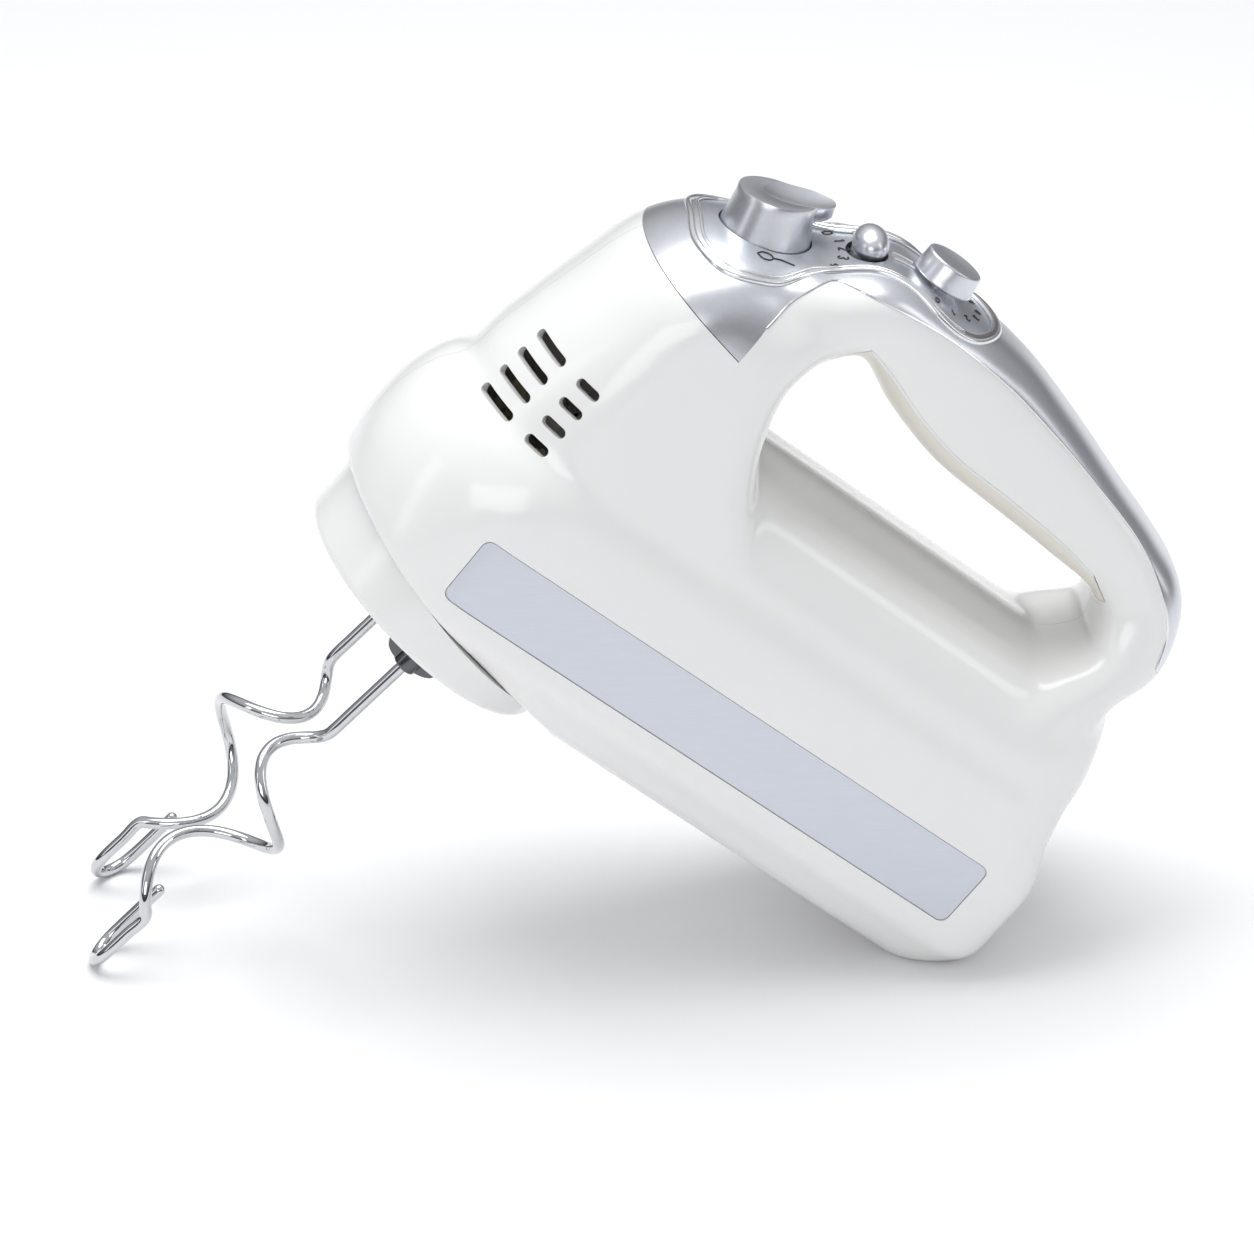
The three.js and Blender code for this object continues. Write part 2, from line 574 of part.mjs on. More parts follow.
// ---------------------------------------------------------------- motor (drive frame, about x)
const STATOR = { start: 46, end: 80, half: 21, bore: 15 };
function statorCore() {
  const { start, end, half, bore } = STATOR;
  const stack = box(end - start, 2 * half, 2 * half + 6, (start + end) / 2, 0, 0);
  const pockets = [-1, 1].map((side) => box(60, 10, 24, 60, side * 15.5, 0));
  return cut(solid(stack), rod('x', bore, 0, 120, 0, 0, 24), ...pockets);
}

// Field coil: a flat racetrack round one pole, bent over at both ends of the core.
function fieldCoil(side) {
  const { start, end } = STATOR;
  const outerLoop = box(end - start + 12, 6, 22, (start + end) / 2, side * 16.2, 0);
  return cut(solid(outerLoop), box(end - start + 3, 10, 13, (start + end) / 2, side * 16.2, 0),
    rod('x', STATOR.bore + 0.2, 0, 120, 0, 0, 24));
}

function armatureCore() {
  const outline = [];
  const slots = 12;
  for (let i = 0; i < slots; i++) {
    for (const [r, t] of [[8, -0.5], [12.6, -0.42], [14, -0.4], [14.2, 0], [14, 0.4], [12.6, 0.42]]) {
      const a = ((i + t) * 2 * Math.PI) / slots;
      outline.push([r * Math.cos(a), r * Math.sin(a)]);
    }
  }
  const bar = plate(outline, STATOR.start + 1, STATOR.end - 1).rotateY(Math.PI / 2);
  return cut(solid(bar), rod('x', SHAFT_RADIUS + GAP, 0, 120, 0, 0, 20));
}

function winding(a, b) {
  const profile = [[3.1, a], [9, a], [12.6, a + 1.5], [13, (a + b) / 2],
    [12.6, b - 1.5], [9, b], [3.1, b], [3.1, a]];
  return new THREE.LatheGeometry(profile.map(([r, x]) => new THREE.Vector2(r, x)), 14)
    .rotateZ(-Math.PI / 2);
}

function commutator() {
  const grooves = Array.from({ length: 12 }, (_, i) =>
    box(14, 0.7, 2, 94, 0, 9).rotateX((i * Math.PI) / 6));
  return cut(sleeve('x', 9, SHAFT_RADIUS + GAP, 88, 100), ...grooves);
}

const FAN_END = 38.8;          // rear face of the fan, clear of the field coils
function coolingFan() {
  let rotor = sleeve('x', 5, SHAFT_RADIUS + GAP, 26, FAN_END);
  rotor = rotor.add(sleeve('x', 19, SHAFT_RADIUS + GAP, FAN_END - 1.6, FAN_END, 0, 0, 24));
  for (let i = 0; i < 10; i++) {
    const blade = box(11, 1.2, 14.2, 33, 0, 11.6).rotateX((i * Math.PI) / 5);
    rotor = rotor.add(solid(blade));
  }
  return rotor;
}

function motorBracket() {
  const bracket = join(box(3, 40, 40, 107.5, 0, 0), box(27, 6, 3, 94.5, 17, 18.5),
    box(27, 6, 3, 94.5, -17, 18.5));
  const airHoles = [-1, 1].map((side) => box(10, 8, 14, 107, side * 13, -8));
  return cut(bracket, rod('x', 5.3, 100, 115, 0, 0, 14), ...airHoles);
}

const BRUSH_X = 94;
const brushHolder = (side) => cut(solid(box(8, 11, 8, BRUSH_X, side * 17.5, 0)),
  box(4.6, 14, 4.6, BRUSH_X, side * 18, 0));
const carbonBrush = (side) => box(4, 9, 4, BRUSH_X, side * 14, 0);

// ---------------------------------------------------------------- ejector (drive frame)
// The plunger under the speed knob pushes this yoke down; its two pins push the hooks out.
const YOKE_Z = 71;
function ejectorYoke() {
  const bar = box(8, 2 * SPINDLE_Y + 6, 4, 0, 0, YOKE_Z);
  const pins = [-1, 1].map((side) =>
    rod('z', 2, HOOK.top + GAP, YOKE_Z, 0, side * SPINDLE_Y, 14));
  const post = rod('z', 2.4, YOKE_Z, 110, 0, 0, 14);
  return join(bar, ...pins, post);
}

function coilSpring(radius, wireRadius, z0, z1, turns) {
  const points = Array.from({ length: turns * 8 + 1 }, (_, i) => {
    const a = (i * 2 * Math.PI) / 8;
    return new THREE.Vector3(radius * Math.cos(a), radius * Math.sin(a), z0 + ((z1 - z0) * i) / (turns * 8));
  });
  return wire(new THREE.CatmullRomCurve3(points), wireRadius, turns * 8, 4);
}

// ---------------------------------------------------------------- assembly: casing
add(mixer, 'left_housing', housing(-1), glossWhite);
add(mixer, 'right_housing', housing(1), glossWhite);
add(mixer, 'top_cover', topCover(), satinSilver);
add(mixer, 'control_panel', controlPanel(), panelSilver);
add(mixer, 'grip_insert', gripInsert(), ivory);
for (const [name, side] of [['badge_left', -1], ['badge_right', 1]]) {
  add(mixer, name, outer.intersect(badgeZone(side, 0, SKIN)), brushedStrip);
}
add(mixer, 'cord_inlet', cordInlet(), blackPlastic);
SCREWS.forEach(([x, z], i) => add(mixer, `housing_screw_${i + 1}`, screw(x, z), steel));
add(drive, 'spindle_cover', spindleCover(), glossWhite);

// ---------------------------------------------------------------- assembly: controls
add(speedGroup, 'speed_knob', speedKnob(), satinSilver);
add(turboGroup, 'turbo_button', turboButton(), satinSilver);
add(regulatorGroup, 'regulator_knob', regulatorKnob(), satinSilver);
const PLUNGER = { top: STEM_END - GAP, collar: -8.8, foot: -24 };
// The return spring stands at its pressed length, clear of the collar over the whole stroke.
const SPRING = { top: PLUNGER.collar - EJECT_STROKE - 0.7, foot: -18.3 };
add(speedGroup, 'ejector_plunger', join(rod('z', 3, PLUNGER.foot, PLUNGER.top, 0, 0, 14),
  rod('z', 5.5, PLUNGER.collar, PLUNGER.top, 0, 0, 16)), beigePlastic);
add(speedGroup, 'ejector_spring', coilSpring(4.6, 0.4, SPRING.foot, SPRING.top, 4), steel);
add(speedGroup, 'speed_switch', sleeve('z', 11, 3.4, SPRING.foot - 6.5, SPRING.foot - 0.7), blackPlastic);
add(turboGroup, 'turbo_switch', box(12, 8, 6, 0, 0, -12.5), blackPlastic);
add(regulatorGroup, 'regulator_potentiometer', join(rod('z', 7.5, -16, -10, 0, 0, 24),
  rod('z', 2.2, -11, -7.3, 0, 0, 12)), steel);
add(regulatorGroup, 'control_board', box(34, 22, 1.6, 14, 0, -17.5), boardGreen);

// ---------------------------------------------------------------- assembly: drive
const SIDES = [['left', -1], ['right', 1]];
add(drive, 'gearbox_frame', gearboxFrame(), beigePlastic);
add(drive, 'ejector_yoke', ejectorYoke(), beigePlastic);
for (const [name, side] of SIDES) {
  const axis = new THREE.Group();
  axis.position.y = side * SPINDLE_Y;
  drive.add(axis);
  add(axis, `spindle_${name}`, sleeve('z', SPINDLE_OUTER, SPINDLE_BORE, SPINDLE_FOOT, SPINDLE_TOP), steel);
  add(axis, `spindle_bush_${name}`,
    sleeve('z', SPINDLE_OUTER + 2.2, SPINDLE_OUTER + GAP, FRAME_Z - 1, FRAME_Z + 4), brass);
  add(axis, `worm_wheel_${name}`, wormWheel(), gearPlastic).position.z = DRIVE_Z;
  if (side < 0) add(axis, 'hook_collar', hookCollar(), chrome);
  const curve = hookCurve(-side, HOOK_PHASE[name]);
  const shank = rod('z', 2.6, 7, HOOK.top, 0, 0, 10);
  add(axis, `hook_${name}`, join(wire(curve, WIRE_RADIUS, 66, 6), shank), chrome);
}

// ---------------------------------------------------------------- assembly: motor
const motor = new THREE.Group();
motor.position.z = DRIVE_Z;
drive.add(motor);
add(motor, 'armature_shaft', rod('x', SHAFT_RADIUS, -24, 111, 0, 0, 16), steel);
add(motor, 'worm', worm(), steel);
add(motor, 'cooling_fan', coolingFan(), blackPlastic);
add(motor, 'armature_core', armatureCore(), lamination);
add(motor, 'armature_winding_front', winding(42, 46.5), copper);
add(motor, 'armature_winding_rear', winding(79.6, 85), copper);
add(motor, 'commutator', commutator(), copper);
add(motor, 'stator_core', statorCore(), lamination);
for (const [name, side] of SIDES) {
  add(motor, `field_coil_${name}`, fieldCoil(side), copper);
  add(motor, `brush_holder_${name}`, brushHolder(side), brass);
  add(motor, `carbon_brush_${name}`, carbonBrush(side), carbon);
}
add(motor, 'front_bearing', sleeve('x', 5, SHAFT_RADIUS + GAP, 18.5, 23), brass);
add(motor, 'rear_bearing', sleeve('x', 5, SHAFT_RADIUS + GAP, 105.5, 110), brass);
add(motor, 'motor_bracket', motorBracket(), beigePlastic);

// Inner lead: from the cord inlet up the rear pillar and along the grip to the switches.
const LEAD_POINTS = [[198, 66], [192, 72], [189, 86], [190, 100], [183, 112], [168, 119],
  [150, 124], [136, 127]];
const leadCurve = new THREE.CatmullRomCurve3(LEAD_POINTS.map(([x, z]) => new THREE.Vector3(x, 0, z)));
add(mixer, 'inner_lead', wire(leadCurve, 2.4, 24, 8), blackPlastic);

// ---------------------------------------------------------------- stand on the table
const object = new THREE.Group();
object.add(mixer);
object.updateMatrixWorld(true);
const bounds = new THREE.Box3().setFromObject(mixer, true);
const centre = bounds.getCenter(new THREE.Vector3());
mixer.position.set(-centre.x, -centre.y, -bounds.min.z);

export default object;
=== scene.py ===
import json
import math

import bmesh
import bpy
import numpy as np
from mathutils import Matrix, Vector
from mathutils.bvhtree import BVHTree


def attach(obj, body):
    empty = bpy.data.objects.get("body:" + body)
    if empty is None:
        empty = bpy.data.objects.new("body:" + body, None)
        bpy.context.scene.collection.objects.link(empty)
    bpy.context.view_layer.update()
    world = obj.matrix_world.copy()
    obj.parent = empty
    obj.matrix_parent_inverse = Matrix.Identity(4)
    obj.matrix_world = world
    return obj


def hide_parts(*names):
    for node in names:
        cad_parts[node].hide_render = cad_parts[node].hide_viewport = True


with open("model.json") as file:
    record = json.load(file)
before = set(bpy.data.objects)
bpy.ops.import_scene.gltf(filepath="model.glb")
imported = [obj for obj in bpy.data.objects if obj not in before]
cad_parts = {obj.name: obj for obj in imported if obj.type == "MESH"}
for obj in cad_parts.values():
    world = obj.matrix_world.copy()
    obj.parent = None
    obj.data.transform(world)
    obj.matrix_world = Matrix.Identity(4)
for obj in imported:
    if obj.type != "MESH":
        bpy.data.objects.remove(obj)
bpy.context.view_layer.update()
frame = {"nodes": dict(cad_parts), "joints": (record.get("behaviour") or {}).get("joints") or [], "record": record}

# The shapes are worked out in millimetres in the mixer frame (x from the nose to the rear, y to the
# right, z up from the base) or the drive frame (z along the spindles) and placed in the row frame.
MM = 0.001

# ---------------------------------------------------------------- dimensions
SPINDLE_LEAN = math.radians(7.5)
SPINDLE_X = 44.5
SPINDLE_Y = 21.0
DRIVE_Z = 51.0
WALL = 2.2
HEEL_START = 197.5
REST_TILT = math.radians(37.5)
NOSE_CUT_ANGLE = math.radians(16.5)
NOSE_LENGTH = 40.0
WIRE_RADIUS = 1.6
HOLE_RADIUS = 7.0
GRID_STEP = 1.0
SOFTENING = 10                 # averaging passes: fillets of about 3 mm

# Horizontal slices of the body: [z, front x, rear x, half width].
BASE_SLICES = [
    [-2, 20, 209, 26], [0, 20, 209, 29.5], [8, 9, 211, 36.5], [15.5, 3.5, 212, 42.6], [19, 2.4, 212, 43],
    [26, 0.8, 212, 43], [36, 0, 212, 43], [45, 1, 208.5, 43], [52, 3, 206, 42],
    [58, 6, 205, 40.5], [63, 10.5, 204.5, 38], [66, 13, 204, 35],
]
COLUMN_SLICES = [
    [42, 2, 100, 34], [46, 4, 100, 36], [62, 10.5, 98, 38.6], [70, 11.3, 94, 38.2], [84, 14.8, 83, 37.4],
    [98, 18.8, 76, 36.2], [110, 22.4, 73.5, 35], [117, 26, 75, 33.5], [123, 31, 78, 30.5],
    [128, 37, 82, 26], [132, 45, 86, 20], [135.5, 54, 90, 12], [138, 62, 92, 4],
]
REAR_SLICES = [
    [42, 40, 205, 34], [46, 40, 205, 36], [56, 40, 205.5, 39], [64, 40, 205.5, 38.4], [72, 44, 204.5, 36],
    [79, 50, 203.5, 31], [83.5, 56, 203, 24], [86, 62, 202, 14], [87.5, 66, 200, 4],
]
# Handle stations: [top x, top z, underside x, underside z, half width].
HANDLE_STATIONS = [
    [56, 136, 60, 98, 27], [68, 142, 70, 110, 28], [82, 147, 84, 124, 25.5],
    [104, 148.3, 106, 116, 23], [124, 146, 122, 111, 20], [144, 140.5, 141, 109.5, 18.5],
    [165, 133.5, 160, 108.5, 18], [184, 127, 177, 107, 18], [197, 121, 184, 102, 20],
    [205.5, 107, 183, 91, 24], [203.5, 92, 175, 80, 30], [204, 76, 163, 66, 36],
]
HANDLE_POWER = 3.2

COVER_FRONT = [(-10, 119.5), (20, 116.3), (38, 114.5), (56, 111)]
COVER_SIDE = [
    (57, 121), (60, 130), (66, 137), (77, 140.8), (97, 142.6), (118, 141), (138, 137),
    (154, 133), (177, 126), (189, 119.5), (197, 112), (201, 102.5), (215, 102),
]
INSERT_EDGE = [
    (84, 129.5), (94, 126.5), (106, 122), (121, 118), (140, 116.5), (158, 115), (172, 112.5),
]
INSERT_END = [(180, 108), (178, 100), (92, 100), (78, 122)]
PANEL_OUTLINE = [
    (35, 0), (36.5, 14), (43, 22.5), (53, 22), (63, 14.5), (74, 11.5), (85, 14), (96, 17.5),
    (106, 15), (112, 0), (106, -15), (96, -17.5), (85, -14), (74, -11.5), (63, -14.5), (53, -22),
    (43, -22.5), (36.5, -14),
]
BADGE = dict(start=33, end=193.5, low=20.5, high=39.5, corner=2.5)
KNOB = dict(radius=12, tip=18.5, top=9.6, foot=-1.5, beak=5.4, rest=math.radians(30))
SCOOP_CENTRE = (9, 0, 47.6)

# Turbo button: where its axis meets the panel, and the slope of the panel there.
TURBO_PLACE = (74.5, 0, 144)
TURBO_SLOPE = math.radians(17)

# Cord inlet hole in the rear wall: height above the base, and radius.
INLET_Z, INLET_RADIUS = 66, 5.8

# Vent columns on the nose flanks: [x, y, turn in degrees, length], and how each row below is placed.
VENTS = [[21.25, 21, 49, 13.6], [32.6, 31, 33, 7.2]]
VENT_ROWS, VENT_TOP, VENT_PITCH, VENT_SHIFT = 4, 82.75, 6.35, 0.35

# ---------------------------------------------------------------- placing by the frame's joints
JOINTS = {j["name"]: j for j in frame["joints"]}


def frame_matrix(origin, x_axis, z_axis):
    """Row-frame matrix, in metres, of a frame whose own unit is the millimetre."""
    x, z = Vector(x_axis).normalized(), Vector(z_axis).normalized()
    y = z.cross(x)
    turn = Matrix((x, y, z)).transposed().to_4x4()
    return Matrix.Translation(origin) @ turn @ Matrix.Scale(MM, 4)


U = Vector(JOINTS["armature_spin"]["axis"])
W = Vector(JOINTS["spindle_left_spin"]["axis"])
ARMATURE = Vector(JOINTS["armature_spin"]["pos_m"])
DRIVE = frame_matrix(ARMATURE - W * DRIVE_Z * MM, U, W)
LEAN_BACK = Matrix.Rotation(-SPINDLE_LEAN, 3, "Y")
MIXER_X, MIXER_Z = LEAN_BACK @ U, LEAN_BACK @ W
MIXER = frame_matrix(DRIVE.translation - MIXER_X * SPINDLE_X * MM, MIXER_X, MIXER_Z)


def control_matrix(joint):
    normal = Vector(JOINTS[joint]["axis"])
    if normal.z < 0:
        normal = -normal
    across = Vector((0, 1, 0)).cross(normal)
    return normal, across


KNOB_FRAME = frame_matrix(JOINTS["speed_select"]["pos_m"], control_matrix("speed_select")[1],
                          control_matrix("speed_select")[0])
REGULATOR_FRAME = frame_matrix(JOINTS["regulator_turn"]["pos_m"], control_matrix("regulator_turn")[1],
                               control_matrix("regulator_turn")[0])


# ---------------------------------------------------------------- curves
def catmull(points, count, closed=False):
    """Points of a centripetal Catmull-Rom spline, count to each span."""
    p = np.array(points, float)
    ends = (p[-1:], p[:2]) if closed else (2 * p[:1] - p[1:2], 2 * p[-1:] - p[-2:-1])
    q = np.vstack([ends[0], p, ends[1]])
    out = []
    for i in range(len(q) - 3):
        a, b, c, d = q[i:i + 4]
        t = np.cumsum([0] + [max(np.linalg.norm(v - u), 1e-6) ** 0.5 for u, v in ((a, b), (b, c), (c, d))])
        for s in np.linspace(t[1], t[2], count, endpoint=False):
            ab = ((t[1] - s) * a + (s - t[0]) * b) / (t[1] - t[0])
            bc = ((t[2] - s) * b + (s - t[1]) * c) / (t[2] - t[1])
            cd = ((t[3] - s) * c + (s - t[2]) * d) / (t[3] - t[2])
            abc = ((t[2] - s) * ab + (s - t[0]) * bc) / (t[2] - t[0])
            bcd = ((t[3] - s) * bc + (s - t[1]) * cd) / (t[3] - t[1])
            out.append(((t[2] - s) * abc + (s - t[1]) * bcd) / (t[2] - t[1]))
    if not closed:
        out.append(p[-1])
    return np.array(out)


def gentle(knots, values, x):
    """Monotone cubic through the knots, held at its end values outside them."""
    k, v = np.array(knots, float), np.array(values, float)
    step = np.diff(k)
    slope = np.diff(v) / step
    tangent = np.zeros(len(k))
    same = slope[:-1] * slope[1:] > 0
    tangent[1:-1][same] = 2 * slope[:-1][same] * slope[1:][same] / (slope[:-1] + slope[1:])[same]
    tangent[0], tangent[-1] = slope[0], slope[-1]
    x = np.clip(x, k[0], k[-1])
    i = np.clip(np.searchsorted(k, x) - 1, 0, len(k) - 2)
    t = (x - k[i]) / step[i]
    return (v[i] * (2 * t**3 - 3 * t**2 + 1) + v[i + 1] * (3 * t**2 - 2 * t**3)
            + step[i] * (tangent[i] * (t**3 - 2 * t**2 + t) + tangent[i + 1] * (t**3 - t**2)))


# ---------------------------------------------------------------- the body as a distance field
def melt(a, b, radius):
    """Smooth union of two distances."""
    h = np.clip(0.5 + 0.5 * (b - a) / radius, 0, 1)
    return b + (a - b) * h - radius * h * (1 - h)


def softened(field, passes):
    """Repeated small averaging: turns creases into fillets and leaves even surfaces where they are."""
    for _ in range(passes):
        for axis in range(3):
            padded = np.pad(field, [(1, 1) if k == axis else (0, 0) for k in range(3)], mode="edge")
            n = field.shape[axis]
            low, mid, high = (np.take(padded, range(k, k + n), axis=axis) for k in range(3))
            field = 0.25 * low + 0.5 * mid + 0.25 * high
    return field


def trim(a, b, radius):
    """Smooth intersection of two distances."""
    return -melt(-a, -b, radius)


def as_distance(value):
    gx, gy, gz = np.gradient(value, GRID_STEP)
    return value / np.clip(np.sqrt(gx**2 + gy**2 + gz**2), 0.02, None)


def stack_field(slices, corner, x, y, z):
    s = np.array(slices, float)
    front, rear, half = (gentle(s[:, 0], s[:, k], z) for k in (1, 2, 3))
    nose = np.minimum(NOSE_LENGTH, (rear - front) * 0.45)
    behind = x - (front + nose)
    ellipse = np.sqrt((np.minimum(behind, 0) / nose) ** 2 + (y / half) ** 2)
    ahead = (ellipse - 1) * np.minimum(nose, half)
    bend = np.minimum(corner, half * 0.8)
    dx = np.maximum(x - (rear - bend), 0)
    dy = np.maximum(np.abs(y) - (half - bend), 0)
    block = np.sqrt(dx**2 + dy**2) - bend
    block = np.where((dx == 0) & (dy == 0), np.maximum(x - rear, np.abs(y) - half), block)
    plan = as_distance(np.where(behind < 0, ahead, block))
    return trim(plan, np.maximum(s[0, 0] - z, z - s[-1, 0]), 0.8)


def handle_field(x, y, z):
    stations = catmull(HANDLE_STATIONS, 12)
    top, under = stations[:, 0:2], stations[:, 2:4]
    middle = (top + under) / 2
    along = np.gradient(middle, axis=0)
    along /= np.linalg.norm(along, axis=1)[:, None]
    up = (top - under) / 2
    thick = np.abs(up[:, 0] * -along[:, 1] + up[:, 1] * along[:, 0])
    side_x, side_z = x[:, 0, :], z[:, 0, :]
    gap = (side_x[..., None] - middle[:, 0]) ** 2 + (side_z[..., None] - middle[:, 1]) ** 2
    near = np.argmin(gap, axis=-1)
    offset = np.sqrt(np.min(gap, axis=-1))[:, None, :]
    t, h = thick[near][:, None, :], stations[:, 4][near][:, None, :]
    section = ((offset / t) ** HANDLE_POWER + (np.abs(y) / h) ** HANDLE_POWER) ** (1 / HANDLE_POWER)
    return as_distance((section - 1) * np.minimum(t, h))


def body_field():
    xs = np.arange(-6, 219, GRID_STEP)
    ys = np.arange(-47.5, 48, GRID_STEP)
    zs = np.arange(-6, 154, GRID_STEP)
    x, y, z = np.meshgrid(xs, ys, zs, indexing="ij")
    base = stack_field(BASE_SLICES, 14, x, y, z)
    column = stack_field(COLUMN_SLICES, 10, x, y, z)
    rear = stack_field(REAR_SLICES, 16, x, y, z)
    whole = np.minimum(np.minimum(base, column), np.minimum(rear, handle_field(x, y, z)))
    whole = softened(np.clip(whole, -12, 12), SOFTENING)
    nose_plane = (x - 38) * math.sin(NOSE_CUT_ANGLE) + (z - 12.6) * math.cos(NOSE_CUT_ANGLE)
    whole = trim(whole, np.where(x < 83, -nose_plane, -99), 0.8)
    heel_plane = (x - HEEL_START) * math.sin(REST_TILT) - z * math.cos(REST_TILT)
    return trim(whole, heel_plane, 1.0), (xs[0], ys[0], zs[0])


def surface_nets(field, level, origin):
    """Closed quad mesh of the surface where field equals level."""
    f = field - level
    inside = f < 0
    shape = np.array(f.shape) - 1
    corners = [(i, j, k) for i in (0, 1) for j in (0, 1) for k in (0, 1)]

    def at(grid, c):
        return grid[c[0]:c[0] + shape[0], c[1]:c[1] + shape[1], c[2]:c[2] + shape[2]]

    count = sum(at(inside, c).astype(np.int8) for c in corners)
    active = (count > 0) & (count < 8)
    cells = np.argwhere(active)
    number = -np.ones(active.shape, np.int64)
    number[active] = np.arange(len(cells))
    total, weight = np.zeros((len(cells), 3)), np.zeros(len(cells))
    for a in corners:
        for axis in range(3):
            if a[axis]:
                continue
            b = list(a)
            b[axis] = 1
            fa = f[tuple((cells + a).T)]
            fb = f[tuple((cells + b).T)]
            crossing = (fa < 0) != (fb < 0)
            t = np.where(crossing, fa / np.where(crossing, fa - fb, 1), 0)
            point = np.array(a, float) + t[:, None] * (np.array(b) - np.array(a))
            total += np.where(crossing[:, None], point, 0)
            weight += crossing
    points = (cells + total / weight[:, None]) * GRID_STEP + np.array(origin)
    faces = []
    for axis in range(3):
        one, two = (axis + 1) % 3, (axis + 2) % 3
        step = np.zeros(3, int)
        step[axis] = 1
        low = inside[tuple(slice(0, n - s) for n, s in zip(inside.shape, step))]
        high = inside[tuple(slice(s, None) for s in step)]
        for flip, mask in ((False, low & ~high), (True, ~low & high)):
            spots = np.argwhere(mask)
            spots = spots[(spots[:, one] > 0) & (spots[:, two] > 0)]
            ring = []
            for p, q in ((0, 0), (-1, 0), (-1, -1), (0, -1)):
                shift = np.zeros(3, int)
                shift[one], shift[two] = p, q
                ring.append(number[tuple((spots + shift).T)])
            quad = np.stack(ring, 1)
            faces.append(quad[:, ::-1] if flip else quad)
    return points, np.vstack(faces)


def smoothed(points, faces, rounds):
    """Taubin smoothing: evens the facets without shrinking the form."""
    edges = np.vstack([faces[:, [0, 1]], faces[:, [1, 2]], faces[:, [2, 3]], faces[:, [3, 0]]])
    edges = np.unique(np.sort(edges, axis=1), axis=0)
    degree = np.bincount(edges.ravel(), minlength=len(points))[:, None]
    for _ in range(rounds):
        for rate in (0.5, -0.52):
            total = np.zeros_like(points)
            for k in range(3):
                total[:, k] = (np.bincount(edges[:, 0], points[edges[:, 1], k], len(points))
                               + np.bincount(edges[:, 1], points[edges[:, 0], k], len(points)))
            points = points + rate * (total / degree - points)
    return points


# ---------------------------------------------------------------- meshes
def new_mesh(name, points, faces, smooth=True):
    """Object whose mesh is in millimetres of its own frame until it is placed."""
    mesh = bpy.data.meshes.new(name)
    mesh.from_pydata([tuple(p) for p in points], [], [tuple(int(i) for i in f) for f in faces])
    bm = bmesh.new()
    bm.from_mesh(mesh)
    bmesh.ops.recalc_face_normals(bm, faces=bm.faces)
    bm.to_mesh(mesh)
    bm.free()
    obj = bpy.data.objects.new(name, mesh)
    bpy.context.scene.collection.objects.link(obj)
    if smooth:
        mesh.polygons.foreach_set("use_smooth", [True] * len(mesh.polygons))
    return obj


def loft(name, rings, smooth=True):
    """Closed skin through rings of equally many points."""
    count = len(rings[0])
    points = [p for ring in rings for p in ring]
    faces = []
    for r in range(len(rings) - 1):
        for i in range(count):
            j = (i + 1) % count
            faces.append((r * count + i, r * count + j, (r + 1) * count + j, (r + 1) * count + i))
    for ring, start in ((rings[0], 0), (rings[-1], (len(rings) - 1) * count)):
        points.append(np.mean(ring, axis=0))
        hub = len(points) - 1
        faces += [(hub, start + i, start + (i + 1) % count) for i in range(count)]
    return new_mesh(name, points, faces, smooth)


def prism(name, outline, low, high, plane="xz"):
    """Flat outline pushed through from low to high, across y or up z."""
    if plane == "xz":
        rings = [[(x, h, z) for x, z in outline] for h in (low, high)]
    else:
        rings = [[(x, y, h) for x, y in outline] for h in (low, high)]
    n = len(outline)
    points = rings[0] + rings[1]
    faces = [tuple(range(n)), tuple(range(n, 2 * n))]
    faces += [(i, (i + 1) % n, n + (i + 1) % n, n + i) for i in range(n)]
    obj = new_mesh(name, points, faces, smooth=False)
    triangulate(obj)
    return obj


def triangulate(obj):
    bm = bmesh.new()
    bm.from_mesh(obj.data)
    bmesh.ops.triangulate(bm, faces=bm.faces, ngon_method="EAR_CLIP")
    bmesh.ops.recalc_face_normals(bm, faces=bm.faces)
    bm.to_mesh(obj.data)
    bm.free()


def turned_profile(name, profile, sides=72):
    """Lathe about z of [radius, z] points that start and end on the axis."""
    around = np.linspace(0, 2 * math.pi, sides, endpoint=False)
    rings = [[(r * math.cos(a), r * math.sin(a), z) for a in around]
             for r, z in profile]
    return loft(name, rings)


def rounded(profile, radius, steps=5):
    """[radius, z] profile with its inner corners replaced by arcs."""
    p = [np.array(v, float) for v in profile]
    out = [p[0]]
    for a, b, c in zip(p, p[1:], p[2:]):
        reach = min(radius, np.linalg.norm(a - b) / 2.1, np.linalg.norm(c - b) / 2.1)
        start, end = b + (a - b) / np.linalg.norm(a - b) * reach, b + (c - b) / np.linalg.norm(c - b) * reach
        for t in np.linspace(0, 1, steps):
            out.append((1 - t) ** 2 * start + 2 * t * (1 - t) * b + t**2 * end)
    return out + [p[-1]]


def tube(name, path, radius, sides=16, closed=False):
    """Round tube along a path, turned with the path so that it does not twist."""
    p = np.array(path, float)
    n = len(p)
    ahead = np.roll(p, -1, 0) - np.roll(p, 1, 0)
    if not closed:
        ahead[0], ahead[-1] = p[1] - p[0], p[-1] - p[-2]
    ahead /= np.linalg.norm(ahead, axis=1)[:, None]
    side = np.cross(ahead[0], (0, 0, 1) if abs(ahead[0][2]) < 0.9 else (1, 0, 0))
    rings = []
    for i in range(n):
        side = side - ahead[i] * side.dot(ahead[i])
        side /= np.linalg.norm(side)
        up = np.cross(ahead[i], side)
        r = radius if np.isscalar(radius) else radius[i]
        rings.append([p[i] + r * (math.cos(a) * side + math.sin(a) * up)
                      for a in np.linspace(0, 2 * math.pi, sides, endpoint=False)])
    if not closed:
        return loft(name, rings)
    points = [q for ring in rings for q in ring]
    faces = [(i * sides + j, i * sides + (j + 1) % sides, ((i + 1) % n) * sides + (j + 1) % sides,
              ((i + 1) % n) * sides + j) for i in range(n) for j in range(sides)]
    return new_mesh(name, points, faces)


